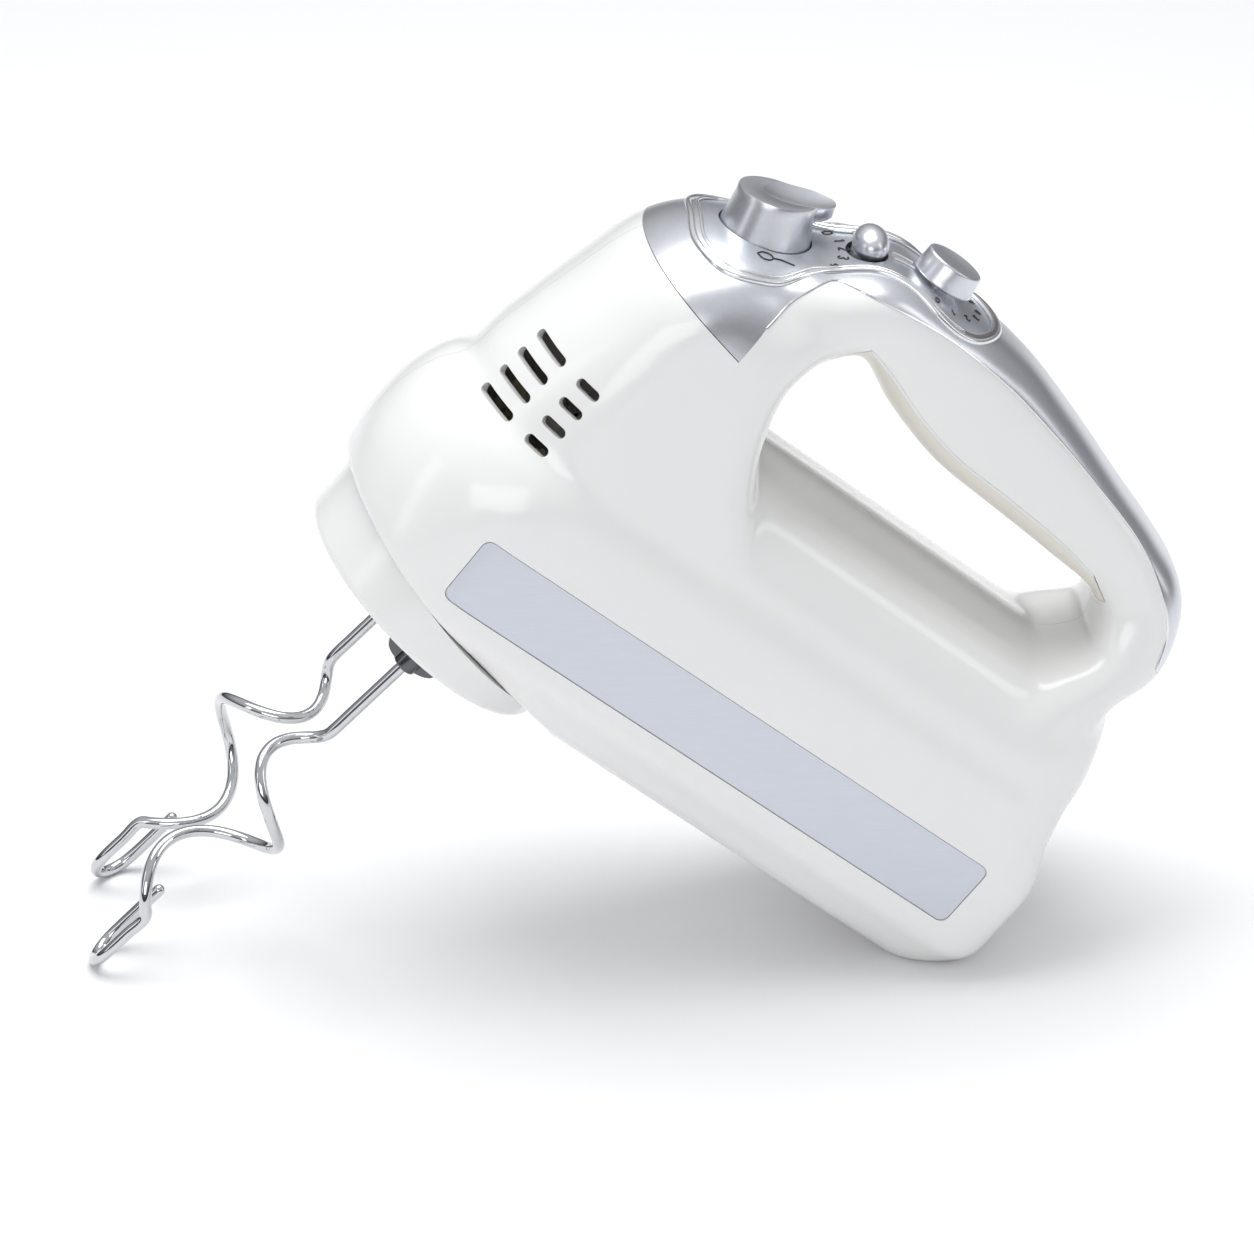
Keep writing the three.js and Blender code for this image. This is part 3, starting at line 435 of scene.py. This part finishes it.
def boolean(obj, tool, operation, keep=False):
    """Exact join or cut by a closed mesh."""
    modifier = obj.modifiers.new("bool", "BOOLEAN")
    modifier.operation = operation
    modifier.solver = "MANIFOLD"
    modifier.object = tool
    bpy.context.view_layer.update()
    result = bpy.data.meshes.new_from_object(obj.evaluated_get(bpy.context.evaluated_depsgraph_get()))
    obj.modifiers.clear()
    obj.data = result
    if not keep:
        bpy.data.objects.remove(tool)
    if not len(result.polygons):
        raise RuntimeError(f"boolean {operation} left nothing of {obj.name}")
    return obj


def cut(obj, tool, keep=False):
    return boolean(obj, tool, "DIFFERENCE", keep)


def common(obj, tool, keep=False):
    return boolean(obj, tool, "INTERSECT", keep)


def union(obj, *tools):
    for tool in tools:
        boolean(obj, tool, "UNION")
    return obj


def duplicate(obj, name):
    other = bpy.data.objects.new(name, obj.data.copy())
    bpy.context.scene.collection.objects.link(other)
    return other


def crease_by_angle(obj, degrees=32):
    """Smooth shading, with sharp edges where neighbouring faces meet steeply."""
    bm = bmesh.new()
    bm.from_mesh(obj.data)
    bmesh.ops.remove_doubles(bm, verts=bm.verts, dist=0.0005)
    for face in bm.faces:
        face.smooth = True
    for edge in bm.edges:
        edge.smooth = not (edge.is_manifold and edge.calc_face_angle(0) > math.radians(degrees))
    bm.to_mesh(obj.data)
    bm.free()


def finish_piece(obj, matrix, body, material, replaces=(), degrees=32):
    """Places a piece in the row frame, gives it its material and fixes it to its body."""
    crease_by_angle(obj, degrees)
    obj.data.transform(matrix)
    obj.data.materials.clear()
    obj.data.materials.append(material)
    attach(obj, body)
    if replaces:
        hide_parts(*replaces)
    return obj


# ---------------------------------------------------------------- materials
def shader(name, color, roughness, metallic=0.0, **sockets):
    material = bpy.data.materials.new(name)
    material.use_nodes = True
    nodes = material.node_tree.nodes
    bsdf = nodes["Principled BSDF"]
    bsdf.inputs["Base Color"].default_value = (*color, 1)
    bsdf.inputs["Roughness"].default_value = roughness
    bsdf.inputs["Metallic"].default_value = metallic
    for key, value in sockets.items():
        bsdf.inputs[key.replace("_", " ")].default_value = value
    return material, bsdf


def noise(material, scale, detail=3.0, stretch=(1, 1, 1)):
    nodes, links = material.node_tree.nodes, material.node_tree.links
    place = nodes.new("ShaderNodeTexCoord")
    mapping = nodes.new("ShaderNodeMapping")
    mapping.inputs["Scale"].default_value = stretch
    texture = nodes.new("ShaderNodeTexNoise")
    texture.inputs["Scale"].default_value = scale
    texture.inputs["Detail"].default_value = detail
    links.new(place.outputs["Object"], mapping.inputs["Vector"])
    links.new(mapping.outputs["Vector"], texture.inputs["Vector"])
    return texture.outputs["Fac"]


def ranged(material, source, low, high):
    nodes, links = material.node_tree.nodes, material.node_tree.links
    node = nodes.new("ShaderNodeMapRange")
    node.inputs["To Min"].default_value = low
    node.inputs["To Max"].default_value = high
    links.new(source, node.inputs["Value"])
    return node.outputs["Result"]


def tinted(material, source, first, second):
    nodes, links = material.node_tree.nodes, material.node_tree.links
    ramp = nodes.new("ShaderNodeValToRGB")
    ramp.color_ramp.elements[0].position, ramp.color_ramp.elements[1].position = 0.3, 0.7
    ramp.color_ramp.elements[0].color = (*first, 1)
    ramp.color_ramp.elements[1].color = (*second, 1)
    links.new(source, ramp.inputs["Fac"])
    return ramp.outputs["Color"]


def bumped(material, bsdf, source, strength, distance):
    nodes, links = material.node_tree.nodes, material.node_tree.links
    bump = nodes.new("ShaderNodeBump")
    bump.inputs["Strength"].default_value = strength
    bump.inputs["Distance"].default_value = distance
    links.new(source, bump.inputs["Height"])
    links.new(bump.outputs["Normal"], bsdf.inputs["Normal"])


def moulded(name, color, roughness, grain=900, relief=0.00002, spread=0.05, **sockets):
    """Plastic: faint colour drift, uneven gloss and a very fine moulded grain."""
    material, bsdf = shader(name, color, roughness, **sockets)
    links = material.node_tree.links
    darker = tuple(c * 0.97 for c in color)
    links.new(tinted(material, noise(material, 14), darker, color), bsdf.inputs["Base Color"])
    links.new(ranged(material, noise(material, 60), roughness - spread, roughness + spread),
              bsdf.inputs["Roughness"])
    bumped(material, bsdf, noise(material, grain, 2), 0.06, relief)
    return material


def metal(name, color, roughness, stretch=(1, 1, 1), grain=2600, spread=0.03, metallic=1.0, **sockets):
    """Metal or metal lacquer: fine grain, drawn out in one direction where it is brushed."""
    material, bsdf = shader(name, color, roughness, metallic, **sockets)
    links = material.node_tree.links
    darker = tuple(c * 0.96 for c in color)
    fine = noise(material, grain, 4, stretch)
    links.new(tinted(material, fine, darker, color), bsdf.inputs["Base Color"])
    gloss = ranged(material, fine, max(roughness - spread, 0.02), roughness + spread)
    links.new(gloss, bsdf.inputs["Roughness"])
    bumped(material, bsdf, fine, 0.03, 0.000004)
    return material


GLOSS_WHITE = moulded("gloss_white", (0.86, 0.86, 0.855), 0.2, spread=0.03,
                      Coat_Weight=0.3, Coat_Roughness=0.08)
IVORY = moulded("ivory", (0.80, 0.775, 0.70), 0.3, grain=1400, relief=0.00004)
SATIN = metal("satin_silver", (0.70, 0.72, 0.76), 0.30, metallic=0.85, grain=900,
              Coat_Weight=0.2, Coat_Roughness=0.15)
PANEL = metal("panel_silver", (0.66, 0.69, 0.74), 0.3, metallic=0.8, grain=900,
              Coat_Weight=0.2, Coat_Roughness=0.12)
TAUPE = metal("taupe_lacquer", (0.26, 0.24, 0.24), 0.3, metallic=0.7)
BEAD = metal("bead_silver", (0.82, 0.83, 0.85), 0.16, metallic=0.8, grain=900)
STRIP = metal("brushed_strip", (0.60, 0.63, 0.69), 0.34, stretch=(0.04, 1, 1), metallic=0.85)
CHROME = metal("chrome", (0.62, 0.63, 0.65), 0.05, spread=0.015, grain=500)
GUNMETAL = metal("gunmetal", (0.13, 0.13, 0.14), 0.22, grain=500)
STEEL = metal("steel", (0.55, 0.55, 0.57), 0.33)
LAMINATION = metal("lamination", (0.25, 0.26, 0.28), 0.5, stretch=(8, 1, 1))
COPPER = metal("copper", (0.62, 0.32, 0.14), 0.3)
BRASS = metal("bearing_brass", (0.72, 0.56, 0.26), 0.3)
CARBON = moulded("carbon", (0.03, 0.03, 0.032), 0.6)
BLACK = moulded("black_plastic", (0.02, 0.02, 0.022), 0.45)
BEIGE = moulded("beige_plastic", (0.62, 0.52, 0.36), 0.45)
GEAR = moulded("gear_plastic", (0.8, 0.77, 0.68), 0.38)
BOARD = moulded("board", (0.05, 0.2, 0.1), 0.4)
INK = moulded("ink", (0.03, 0.03, 0.035), 0.5)
MATERIALS = {
    "gloss_white": GLOSS_WHITE, "satin_silver": SATIN, "panel_silver": PANEL, "brushed_strip": STRIP,
    "ivory": IVORY, "chrome": CHROME, "steel": STEEL, "lamination": LAMINATION, "copper": COPPER,
    "carbon": CARBON, "bearing_brass": BRASS, "black_plastic": BLACK, "beige_plastic": BEIGE,
    "gear_plastic": GEAR, "board": BOARD,
}


def dress_cad_nodes():
    for part in frame["record"]["subparts"]:
        data = frame["nodes"][part["node"]].data
        data.materials.clear()
        data.materials.append(MATERIALS[part["material_slot"]])


# ---------------------------------------------------------------- zones
def side_line(front_step=6, side_step=8):
    return np.vstack([catmull(COVER_FRONT, front_step), catmull(COVER_SIDE, side_step)])


def cover_zone(grow, name="zone"):
    line = [(x, z - grow) for x, z in side_line()]
    return prism(name, line + [(225, 102 - grow), (225, 190), (-20, 190)], -60, 60)


def insert_zone(grow):
    line = [(x, z + grow) for x, z in catmull(INSERT_EDGE, 8)]
    end = [(x + (grow if x > 130 else -grow), z) for x, z in INSERT_END]
    return prism("zone", line + end, -60, 60)


def panel_line(grow=0.0):
    points = catmull(PANEL_OUTLINE, 10, closed=True)
    ahead = np.roll(points, -1, 0) - np.roll(points, 1, 0)
    outward = np.stack([-ahead[:, 1], ahead[:, 0]], 1)
    outward /= np.linalg.norm(outward, axis=1)[:, None]
    middle = points.mean(0)
    if np.sum(outward * (points - middle)) < 0:
        outward = -outward
    return points + grow * outward


def panel_zone(grow):
    zone = prism("zone", [tuple(p) for p in panel_line(grow)], 100, 180, "xy")
    above = [(20, 112), (72, 118), (90, 128), (130, 130), (130, 170), (20, 170)]
    return common(zone, prism("limit", above, -60, 60))


def rounded_bar(grow, y0, y1):
    x0, x1 = BADGE["start"] - grow, BADGE["end"] + grow
    z0, z1 = BADGE["low"] - grow, BADGE["high"] + grow
    r = BADGE["corner"]
    outline = []
    corners = ((x1 - r, z1 - r, 0), (x0 + r, z1 - r, 90), (x0 + r, z0 + r, 180), (x1 - r, z0 + r, 270))
    for cx, cz, turn in corners:
        for a in np.linspace(0, 90, 8):
            t = math.radians(turn + a)
            outline.append((cx + r * math.cos(t), cz + r * math.sin(t)))
    return prism("bar", outline, y0, y1)


def cylinder(name, radius, low, high, matrix=None, sides=64, stretch=1.0):
    ring = [(radius * math.cos(a), radius * stretch * math.sin(a))
            for a in np.linspace(0, 2 * math.pi, sides, endpoint=False)]
    obj = prism(name, ring, low, high, "xy")
    if matrix is not None:
        obj.data.transform(matrix)
    return obj


IN_MIXER = MIXER.inverted()
KNOB_IN_MIXER = IN_MIXER @ KNOB_FRAME
REGULATOR_IN_MIXER = IN_MIXER @ REGULATOR_FRAME
TURBO_IN_MIXER = Matrix.Translation(TURBO_PLACE) @ Matrix.Rotation(-TURBO_SLOPE, 4, "Y")
TURBO_FRAME = MIXER @ TURBO_IN_MIXER


# ---------------------------------------------------------------- casing
def body_meshes():
    field, origin = body_field()
    made = {}
    for name, level in (("outer", 0.0), ("inner", -WALL), ("panel_top", -0.5), ("panel_under", -2.6),
                        ("badge_floor", -0.9), ("badge_top", -0.25)):
        points, faces = surface_nets(field, level, origin)
        made[name] = new_mesh(name, smoothed(points, faces, 14), faces)
    return made


def vent_cutter(x, y, z, turn, length, side):
    """Slot with round ends, cut square to the flank where it sits."""
    radius = 1.4
    outline = []
    for end in (1, -1):
        for a in np.linspace(-90, 90, 9):
            t = math.radians(a)
            along = end * (length / 2 - radius) + end * radius * math.cos(t)
            outline.append((along, end * radius * math.sin(t)))
    slot = prism("slot", outline, -9, 9)
    turned = Matrix.Rotation(math.radians(side * turn), 4, "Z")
    slot.data.transform(Matrix.Translation((x, side * y, z)) @ turned)
    return slot


def housing(side, body, name):
    shell = duplicate(body["outer"], name)
    half = prism("half", [(-30, -20), (240, -20), (240, 180), (-30, 180)],
                 *((0.08, 70) if side > 0 else (-70, -0.08)))
    common(shell, half)
    cut(shell, body["inner"], keep=True)
    cut(shell, cover_zone(0.25))
    cut(shell, insert_zone(0.25))
    recess = rounded_bar(0.25, *((30, 60) if side > 0 else (-60, -30)))
    cut(recess, body["badge_floor"], keep=True)
    cut(shell, recess)
    for row in range(VENT_ROWS):
        for x, y, turn, length in VENTS:
            cut(shell, vent_cutter(x - VENT_SHIFT * row, y, VENT_TOP - VENT_PITCH * row, turn, length, side))
    across = Matrix.Translation((0, 0, INLET_Z)) @ Matrix.Rotation(math.pi / 2, 4, "Y")
    inlet = cylinder("inlet", INLET_RADIUS, 190, 220, across)
    return cut(shell, inlet)


def skin(body, name, zone, inner="inner"):
    piece = duplicate(body["outer"], name)
    common(piece, zone)
    return cut(piece, body[inner], keep=True)


def control_panel(body):
    sheet = duplicate(body["panel_top"], "control_panel_face")
    common(sheet, panel_zone(0))
    cut(sheet, body["panel_under"], keep=True)
    cut(sheet, cylinder("well", KNOB["radius"] + 0.3, -20, 20, KNOB_IN_MIXER))
    cut(sheet, cylinder("well", 5.3, -20, 20, TURBO_IN_MIXER, stretch=1.43))
    return cut(sheet, cylinder("well", 3.4, -20, 20, REGULATOR_IN_MIXER))


def badge(body, side, name):
    bar = rounded_bar(0, *((30, 60) if side > 0 else (-60, -30)))
    common(bar, body["badge_top"], keep=True)
    strip = cut(bar, body["inner"], keep=True)
    cut(strip, body["badge_floor"], keep=True)
    strip.name = name
    return strip


def on_surface(tree, origin, direction):
    hit = tree.ray_cast(Vector(origin), Vector(direction))
    return hit[0]


def edge_beads(body):
    """Fine rims: round the control panel, and along the cover's lower edge on both sides."""
    bm = bmesh.new()
    bm.from_mesh(body["outer"].data)
    tree = BVHTree.FromBMesh(bm)
    bm.free()
    beads = []
    for name, grow, radius in (("panel_rim_outer", 1.9, 0.95), ("panel_rim_inner", 0.1, 0.5)):
        path = [on_surface(tree, (x, y, 190), (0, 0, -1)) for x, y in panel_line(grow)]
        path = [tuple(p) for p in path if p is not None]
        beads.append((tube(name, path, radius, 12, closed=True), BEAD))
    end = [on_surface(tree, (x, y, 190), (0, 0, -1)) for x, y in panel_line(1.1) if x > 101]
    beads.append((tube("panel_end", [tuple(p) for p in end if p is not None], 1.0, 12), TAUPE))
    for side, name in ((-1, "cover_edge_left"), (1, "cover_edge_right")):
        path = [on_surface(tree, (x, side * 80, z), (0, -side, 0)) for x, z in catmull(COVER_SIDE[:-1], 8)]
        path = [tuple(p) for p in path if p is not None]
        beads.append((tube(name, path, 0.32, 10), BEAD))
    for side, name in ((-1, "insert_edge_left"), (1, "insert_edge_right")):
        path = [on_surface(tree, (x, side * 80, z), (0, -side, 0)) for x, z in catmull(INSERT_EDGE, 8)]
        path = [tuple(p) for p in path if p is not None]
        beads.append((tube(name, path, 0.45, 10), GLOSS_WHITE))
    return beads


def spindle_cover():
    profile = rounded([(0, -1), (39, -1), (40.5, 30), (37, 30), (36.4, 2), (0, 2)], 2.2, 7)
    disc = turned_profile("spindle_cover_disc", profile, 128)
    disc.data.transform(Matrix.Translation((-1.5, 0, 0)))
    for side in (-1, 1):
        cut(disc, cylinder("hole", HOLE_RADIUS, -10, 10, Matrix.Translation((0, side * SPINDLE_Y, 0))))
    above = prism("above", [(-60, -60), (60, -60), (60, 0), (-60, 0)], -70, 70)
    above.data.transform(DRIVE.inverted() @ MIXER @ Matrix.Translation((38, 0, 12.3))
                         @ Matrix.Rotation(NOSE_CUT_ANGLE, 4, "Y"))
    return common(disc, above)


# ---------------------------------------------------------------- controls
def teardrop_outline(radius, tip, scale=1.0, blunt=3.6):
    """Round outline drawn out to a blunt pointer on the +x side."""
    points = []
    for a in np.linspace(48, 312, 56):
        points.append((radius * math.cos(math.radians(a)), radius * math.sin(math.radians(a))))
    nose = catmull([points[-1], (tip - 3, -blunt - 1), (tip, 0), (tip - 3, blunt + 1), points[0]], 7)
    points += [tuple(p) for p in nose[1:-1]]
    return [(x * scale, y * scale) for x, y in points]


def speed_knob():
    radius, top, foot = KNOB["radius"], KNOB["top"], KNOB["foot"]
    body = turned_profile("speed_knob_cap", rounded(
        [(0, foot), (radius, foot), (radius * 0.82, top), (0, top)], 0.7), 96)
    levels = ((0.95, KNOB["beak"]), (0.99, KNOB["beak"] + 0.6), (0.99, top - 0.5), (0.97, top))
    beak = loft("beak", [[(x, y, z) for x, y in teardrop_outline(radius * 0.86, KNOB["tip"], s)]
                         for s, z in levels])
    union(body, beak)
    scoop = ball("scoop", (40, 24, 40), SCOOP_CENTRE, 96, 64)
    cut(body, scoop)
    union(body, cylinder("stem", 3.6, -7, 0))
    body.data.transform(Matrix.Rotation(KNOB["rest"], 4, "Z"))
    return body


def ball(name, radii, centre, around=48, up=24):
    turns = np.linspace(0, 2 * math.pi, around, endpoint=False)
    rings = []
    for t in np.linspace(0.02, math.pi - 0.02, up):
        rings.append([(centre[0] + radii[0] * math.sin(t) * math.cos(a),
                       centre[1] + radii[1] * math.sin(t) * math.sin(a),
                       centre[2] - radii[2] * math.cos(t)) for a in turns])
    return loft(name, rings)


def regulator_knob():
    knob = turned_profile("regulator_cap", rounded(
        [(0, 1.2), (8.4, 1.2), (8.2, 2.4), (7.7, 7.4), (0, 7.4)], 0.7), 96)
    return union(knob, cylinder("stem", 2.8, -7, 1.5))


# ---------------------------------------------------------------- hooks
HOOK = dict(top=44, start=-35, full=-57, ease=-74.3, end=-107, radius=12.3, tail=5.9, middle=-67,
            twist_above=7.8, twist_below=6.4, tighten=0.03, bend_width=13.9, bend_angle=114,
            tip=-128.2, wire_end=-105)
HOOK_PHASE = {"left": -33, "right": 196}


def hook_path(hand, phase):
    """Straight shank, one and a half turns of spiral, then a U bend back up beside itself."""
    def ramp(v, a, b):
        t = min(max((v - a) / (b - a), 0), 1)
        return t * t * (3 - 2 * t)

    points = [(0, 0, HOOK["top"]), (0, 0, 20), (0, 0, 0), (0, 0, HOOK["start"] + 6)]
    steps = 26
    for i in range(steps + 1):
        z = HOOK["start"] + (HOOK["end"] - HOOK["start"]) * i / steps
        past = HOOK["middle"] - z
        below = HOOK["twist_below"] * past + HOOK["tighten"] * past**2
        turn = HOOK["twist_above"] * past if past < 0 else below
        a = math.radians(turn)
        fade = ramp(-z, -HOOK["ease"], -HOOK["end"])
        r = HOOK["radius"] * ramp(-z, -HOOK["start"], -HOOK["full"]) * (1 - fade) + HOOK["tail"] * fade
        points.append((r * math.cos(a), r * math.sin(a), z))
    ex, ey, _ = points[-1]
    ax, ay = math.cos(math.radians(HOOK["bend_angle"])), math.sin(math.radians(HOOK["bend_angle"]))
    bend_z = HOOK["tip"] + HOOK["bend_width"] / 2
    points.append((ex, ey, (HOOK["end"] + bend_z) / 2))
    for i in range(7):
        t = i * math.pi / 6
        offset = HOOK["bend_width"] * (1 - math.cos(t)) / 2
        points.append((ex + ax * offset, ey + ay * offset, bend_z - HOOK["bend_width"] / 2 * math.sin(t)))
    points.append((points[-1][0], points[-1][1], HOOK["wire_end"]))
    path = catmull([(x, y * hand, z) for x, y, z in points], 8)
    turn = hand * math.radians(phase)
    c, s = math.cos(turn), math.sin(turn)
    return np.stack([c * path[:, 0] - s * path[:, 1], s * path[:, 0] + c * path[:, 1], path[:, 2]], 1)


def hook(name, side, phase):
    """Wire tube whose far end closes in a small dome, and the thicker shank in the spindle."""
    path = hook_path(-side, phase)
    direction = path[-1] - path[-2]
    direction /= np.linalg.norm(direction)
    dome = [path[-1] + direction * WIRE_RADIUS * math.sin(a) for a in np.linspace(0.3, 1.45, 5)]
    radii = [WIRE_RADIUS] * len(path) + [WIRE_RADIUS * math.cos(a) for a in np.linspace(0.3, 1.45, 5)]
    wire = tube(name, np.vstack([path, dome]), radii, 20)
    shank = turned_profile("shank", rounded([(0, 7), (2.6, 7), (2.6, 43.9), (0, 43.9)], 0.5), 32)
    wire = union(wire, shank)
    wire.data.transform(Matrix.Translation((0, side * SPINDLE_Y, 0)))
    return wire


def collar():
    """Winged collar: rounded wings on a hub, made as one piece with one dark finish."""
    wing_profile = [(7.7 * math.cos(a), 3.1 * math.sin(a))
                    for a in np.linspace(0, 2 * math.pi, 40, endpoint=False)]
    wings = prism("hook_collar_wings", wing_profile, -0.8, 0.8)
    hub = turned_profile("hub", rounded([(0, -3.4), (3.4, -3.4), (3.4, 3.2), (0, 3.2)], 0.8), 48)
    union(wings, hub)
    cut(wings, cylinder("bore", WIRE_RADIUS + 0.05, -20, 20))
    wings.data.transform(Matrix.Translation((0, -SPINDLE_Y, -6.5)))
    return wings


# ---------------------------------------------------------------- markings
def mark(name, strokes, matrix, tree, width=0.5):
    """Ink strokes laid on the panel: each is a thin tube that follows the surface."""
    parts = []
    for i, stroke in enumerate(strokes):
        path = catmull(stroke, 4)
        placed = []
        for x, y in path:
            start, down = matrix @ Vector((x, y, 30)), (matrix.to_3x3() @ Vector((0, 0, -1))).normalized()
            hit = on_surface(tree, start, down)
            if hit is not None:
                placed.append(tuple(hit + down * -0.02))
        if len(placed) > 1:
            parts.append(tube(f"{name}_{i}", placed, width / 2, 6))
    piece = parts[0]
    with bpy.context.temp_override(active_object=piece, selected_editable_objects=parts):
        bpy.ops.object.join()
    piece.name = name
    return piece


DIGITS = {
    0: [[(-1, 0), (-0.7, 1.4), (0.7, 1.4), (1, 0), (0.7, -1.4), (-0.7, -1.4), (-1, 0)]],
    1: [[(-0.5, 1), (0.2, 1.5), (0.2, -1.5)]],
    2: [[(-0.9, 0.9), (0, 1.5), (0.9, 0.8), (-0.9, -1.5), (0.9, -1.5)]],
    3: [[(-0.9, 1.2), (0.3, 1.5), (0.8, 0.8), (0, 0.1), (0.9, -0.7), (0, -1.5), (-0.9, -1.1)]],
    4: [[(0.5, -1.5), (0.5, 1.5), (-1, -0.5), (1, -0.5)]],
    5: [[(0.8, 1.5), (-0.7, 1.5), (-0.8, 0.2), (0.6, 0.3), (0.8, -0.7), (0, -1.5), (-0.9, -1.2)]],
}


def numerals(centre_frame, radius, angles, size, digits):
    strokes = []
    for digit, degrees in zip(digits, angles):
        a = math.radians(degrees)
        cx, cy = radius * math.cos(a), radius * math.sin(a)
        for stroke in DIGITS[digit]:
            strokes.append([(cx + size * (u * math.sin(a) + v * math.cos(a)),
                             cy + size * (-u * math.cos(a) + v * math.sin(a))) for u, v in stroke])
    return strokes


def whisk_icon():
    loop = [(-3, -15), (-1.6, -13.8), (0.4, -13.9), (1.2, -15), (0.2, -16.2), (-1.6, -16.3), (-3, -15)]
    return [loop, [(1.2, -15), (3.6, -14.6), (6.8, -15.3)]]


# ---------------------------------------------------------------- assembly
def build():
    dress_cad_nodes()
    body = body_meshes()
    for side, node in ((-1, "left_housing"), (1, "right_housing")):
        shell = housing(side, body, f"{node}_shell")
        finish_piece(shell, MIXER, "mixer_body", GLOSS_WHITE, (node,))
    cover = skin(body, "top_cover_shell", cover_zone(0))
    cut(cover, panel_zone(0.3))
    finish_piece(cover, MIXER, "mixer_body", SATIN, ("top_cover",))
    insert = skin(body, "grip_insert_shell", insert_zone(0))
    finish_piece(insert, MIXER, "mixer_body", IVORY, ("grip_insert",))
    finish_piece(control_panel(body), MIXER, "mixer_body", PANEL, ("control_panel",))
    for side, node in ((-1, "badge_left"), (1, "badge_right")):
        finish_piece(badge(body, side, f"{node}_strip"), MIXER, "mixer_body", STRIP, (node,))
    for piece, material in edge_beads(body):
        finish_piece(piece, MIXER, "mixer_body", material)
    finish_piece(spindle_cover(), DRIVE, "mixer_body", GLOSS_WHITE, ("spindle_cover",))

    bm = bmesh.new()
    bm.from_mesh(body["panel_top"].data)
    panel_tree = BVHTree.FromBMesh(bm)
    bm.free()
    dial = numerals(KNOB_FRAME, 20.6, (32, 16, 0, -16, -32, -48), 0.85, (0, 1, 2, 3, 4, 5))
    ring = numerals(REGULATOR_FRAME, 12.4, (-100, -75, -50, -25, 0, 25), 0.6, (0, 1, 2, 3, 4, 5))
    marks = (("speed_numerals", dial, KNOB_IN_MIXER), ("regulator_numerals", ring, REGULATOR_IN_MIXER),
             ("whisk_icon", whisk_icon(), KNOB_IN_MIXER))
    for name, strokes, matrix in marks:
        finish_piece(mark(name, strokes, matrix, panel_tree), MIXER, "mixer_body", INK)

    for side, name in ((-1, "left"), (1, "right")):
        path = [on_surface(panel_tree, (x, side * 1.9, 190), (0, 0, -1)) for x in np.linspace(80.8, 86.4, 8)]
        ridge = tube(f"turbo_ridge_{name}", [tuple(p) for p in path if p is not None], 0.55, 12)
        finish_piece(ridge, MIXER, "mixer_body", BEAD)

    finish_piece(speed_knob(), KNOB_FRAME, "speed_knob", SATIN, ("speed_knob",))
    finish_piece(regulator_knob(), REGULATOR_FRAME, "regulator_knob", SATIN,
                 ("regulator_knob",))
    button = union(ball("turbo_cap", (4.7, 7.0, 4.5), (0, 0, 1.6)), cylinder("stem", 4.2, -7, 1))
    finish_piece(button, TURBO_FRAME, "turbo_button", SATIN, ("turbo_button",))

    for side, name in ((-1, "left"), (1, "right")):
        wire = hook(f"hook_{name}_wire", side, HOOK_PHASE[name])
        finish_piece(wire, DRIVE, f"hook_{name}", CHROME, (f"hook_{name}",))
    finish_piece(collar(), DRIVE, "hook_left", GUNMETAL, ("hook_collar",))
    for scratch in body.values():
        bpy.data.objects.remove(scratch)


# ---------------------------------------------------------------- floor, light and camera
CAMERA_AZIMUTH = math.radians(-3)
CAMERA_HEIGHT = math.radians(27)
CAMERA_DISTANCE = 1.10
CAMERA_LENS = 121.6
LOOK_AT = Vector((0.0004, 0, 0.0849))


def stage():
    floor = new_mesh("floor", [(-6, -6, 0), (6, -6, 0), (6, 6, 0), (-6, 6, 0)], [(0, 1, 2, 3)])
    material, bsdf = shader("floor", (0.9, 0.9, 0.905), 0.8)
    floor.data.materials.append(material)
    world = bpy.data.worlds.new("studio")
    bpy.context.scene.world = world
    world.use_nodes = True
    nodes, links = world.node_tree.nodes, world.node_tree.links
    place, split = nodes.new("ShaderNodeTexCoord"), nodes.new("ShaderNodeSeparateXYZ")
    ramp = nodes.new("ShaderNodeValToRGB")
    links.new(place.outputs["Generated"], split.inputs["Vector"])
    links.new(split.outputs["Z"], ramp.inputs["Fac"])
    ramp.color_ramp.elements[0].color = (0.10, 0.10, 0.11, 1)
    ramp.color_ramp.elements[0].position = 0.08
    ramp.color_ramp.elements[1].color = (0.95, 0.96, 0.98, 1)
    ramp.color_ramp.elements[1].position = 0.62
    background = nodes["Background"]
    links.new(ramp.outputs["Color"], background.inputs["Color"])
    background.inputs["Strength"].default_value = 0.66


def softbox(name, place, target, width, height, power):
    data = bpy.data.lights.new(name, "AREA")
    data.shape = "RECTANGLE"
    data.size, data.size_y, data.energy = width, height, power
    light = bpy.data.objects.new(name, data)
    bpy.context.scene.collection.objects.link(light)
    light.location = place
    light.rotation_euler = (Vector(target) - Vector(place)).to_track_quat("-Z", "Y").to_euler()


def studio():
    softbox("overhead", (-0.1, 0.25, 1.5), (0, 0, 0.05), 1.4, 1.0, 17)
    softbox("front_fill", (-0.5, -1.7, 0.75), (0, 0, 0.1), 1.2, 0.7, 6.5)
    softbox("left_strip", (-1.3, -0.5, 0.6), (0, 0, 0.1), 0.25, 0.9, 1)
    softbox("right_strip", (1.3, -0.4, 0.7), (0, 0, 0.1), 0.25, 0.9, 1.5)
    data = bpy.data.cameras.new("camera")
    data.lens, data.sensor_width = CAMERA_LENS, 36
    camera = bpy.data.objects.new("camera", data)
    bpy.context.scene.collection.objects.link(camera)
    back = Vector((math.sin(CAMERA_AZIMUTH) * math.cos(CAMERA_HEIGHT),
                   -math.cos(CAMERA_AZIMUTH) * math.cos(CAMERA_HEIGHT), math.sin(CAMERA_HEIGHT)))
    camera.location = LOOK_AT + back * CAMERA_DISTANCE
    camera.rotation_euler = (-back).to_track_quat("-Z", "Y").to_euler()
    bpy.context.scene.camera = camera
    bpy.context.scene.view_settings.view_transform = "Standard"


build()
stage()
studio()
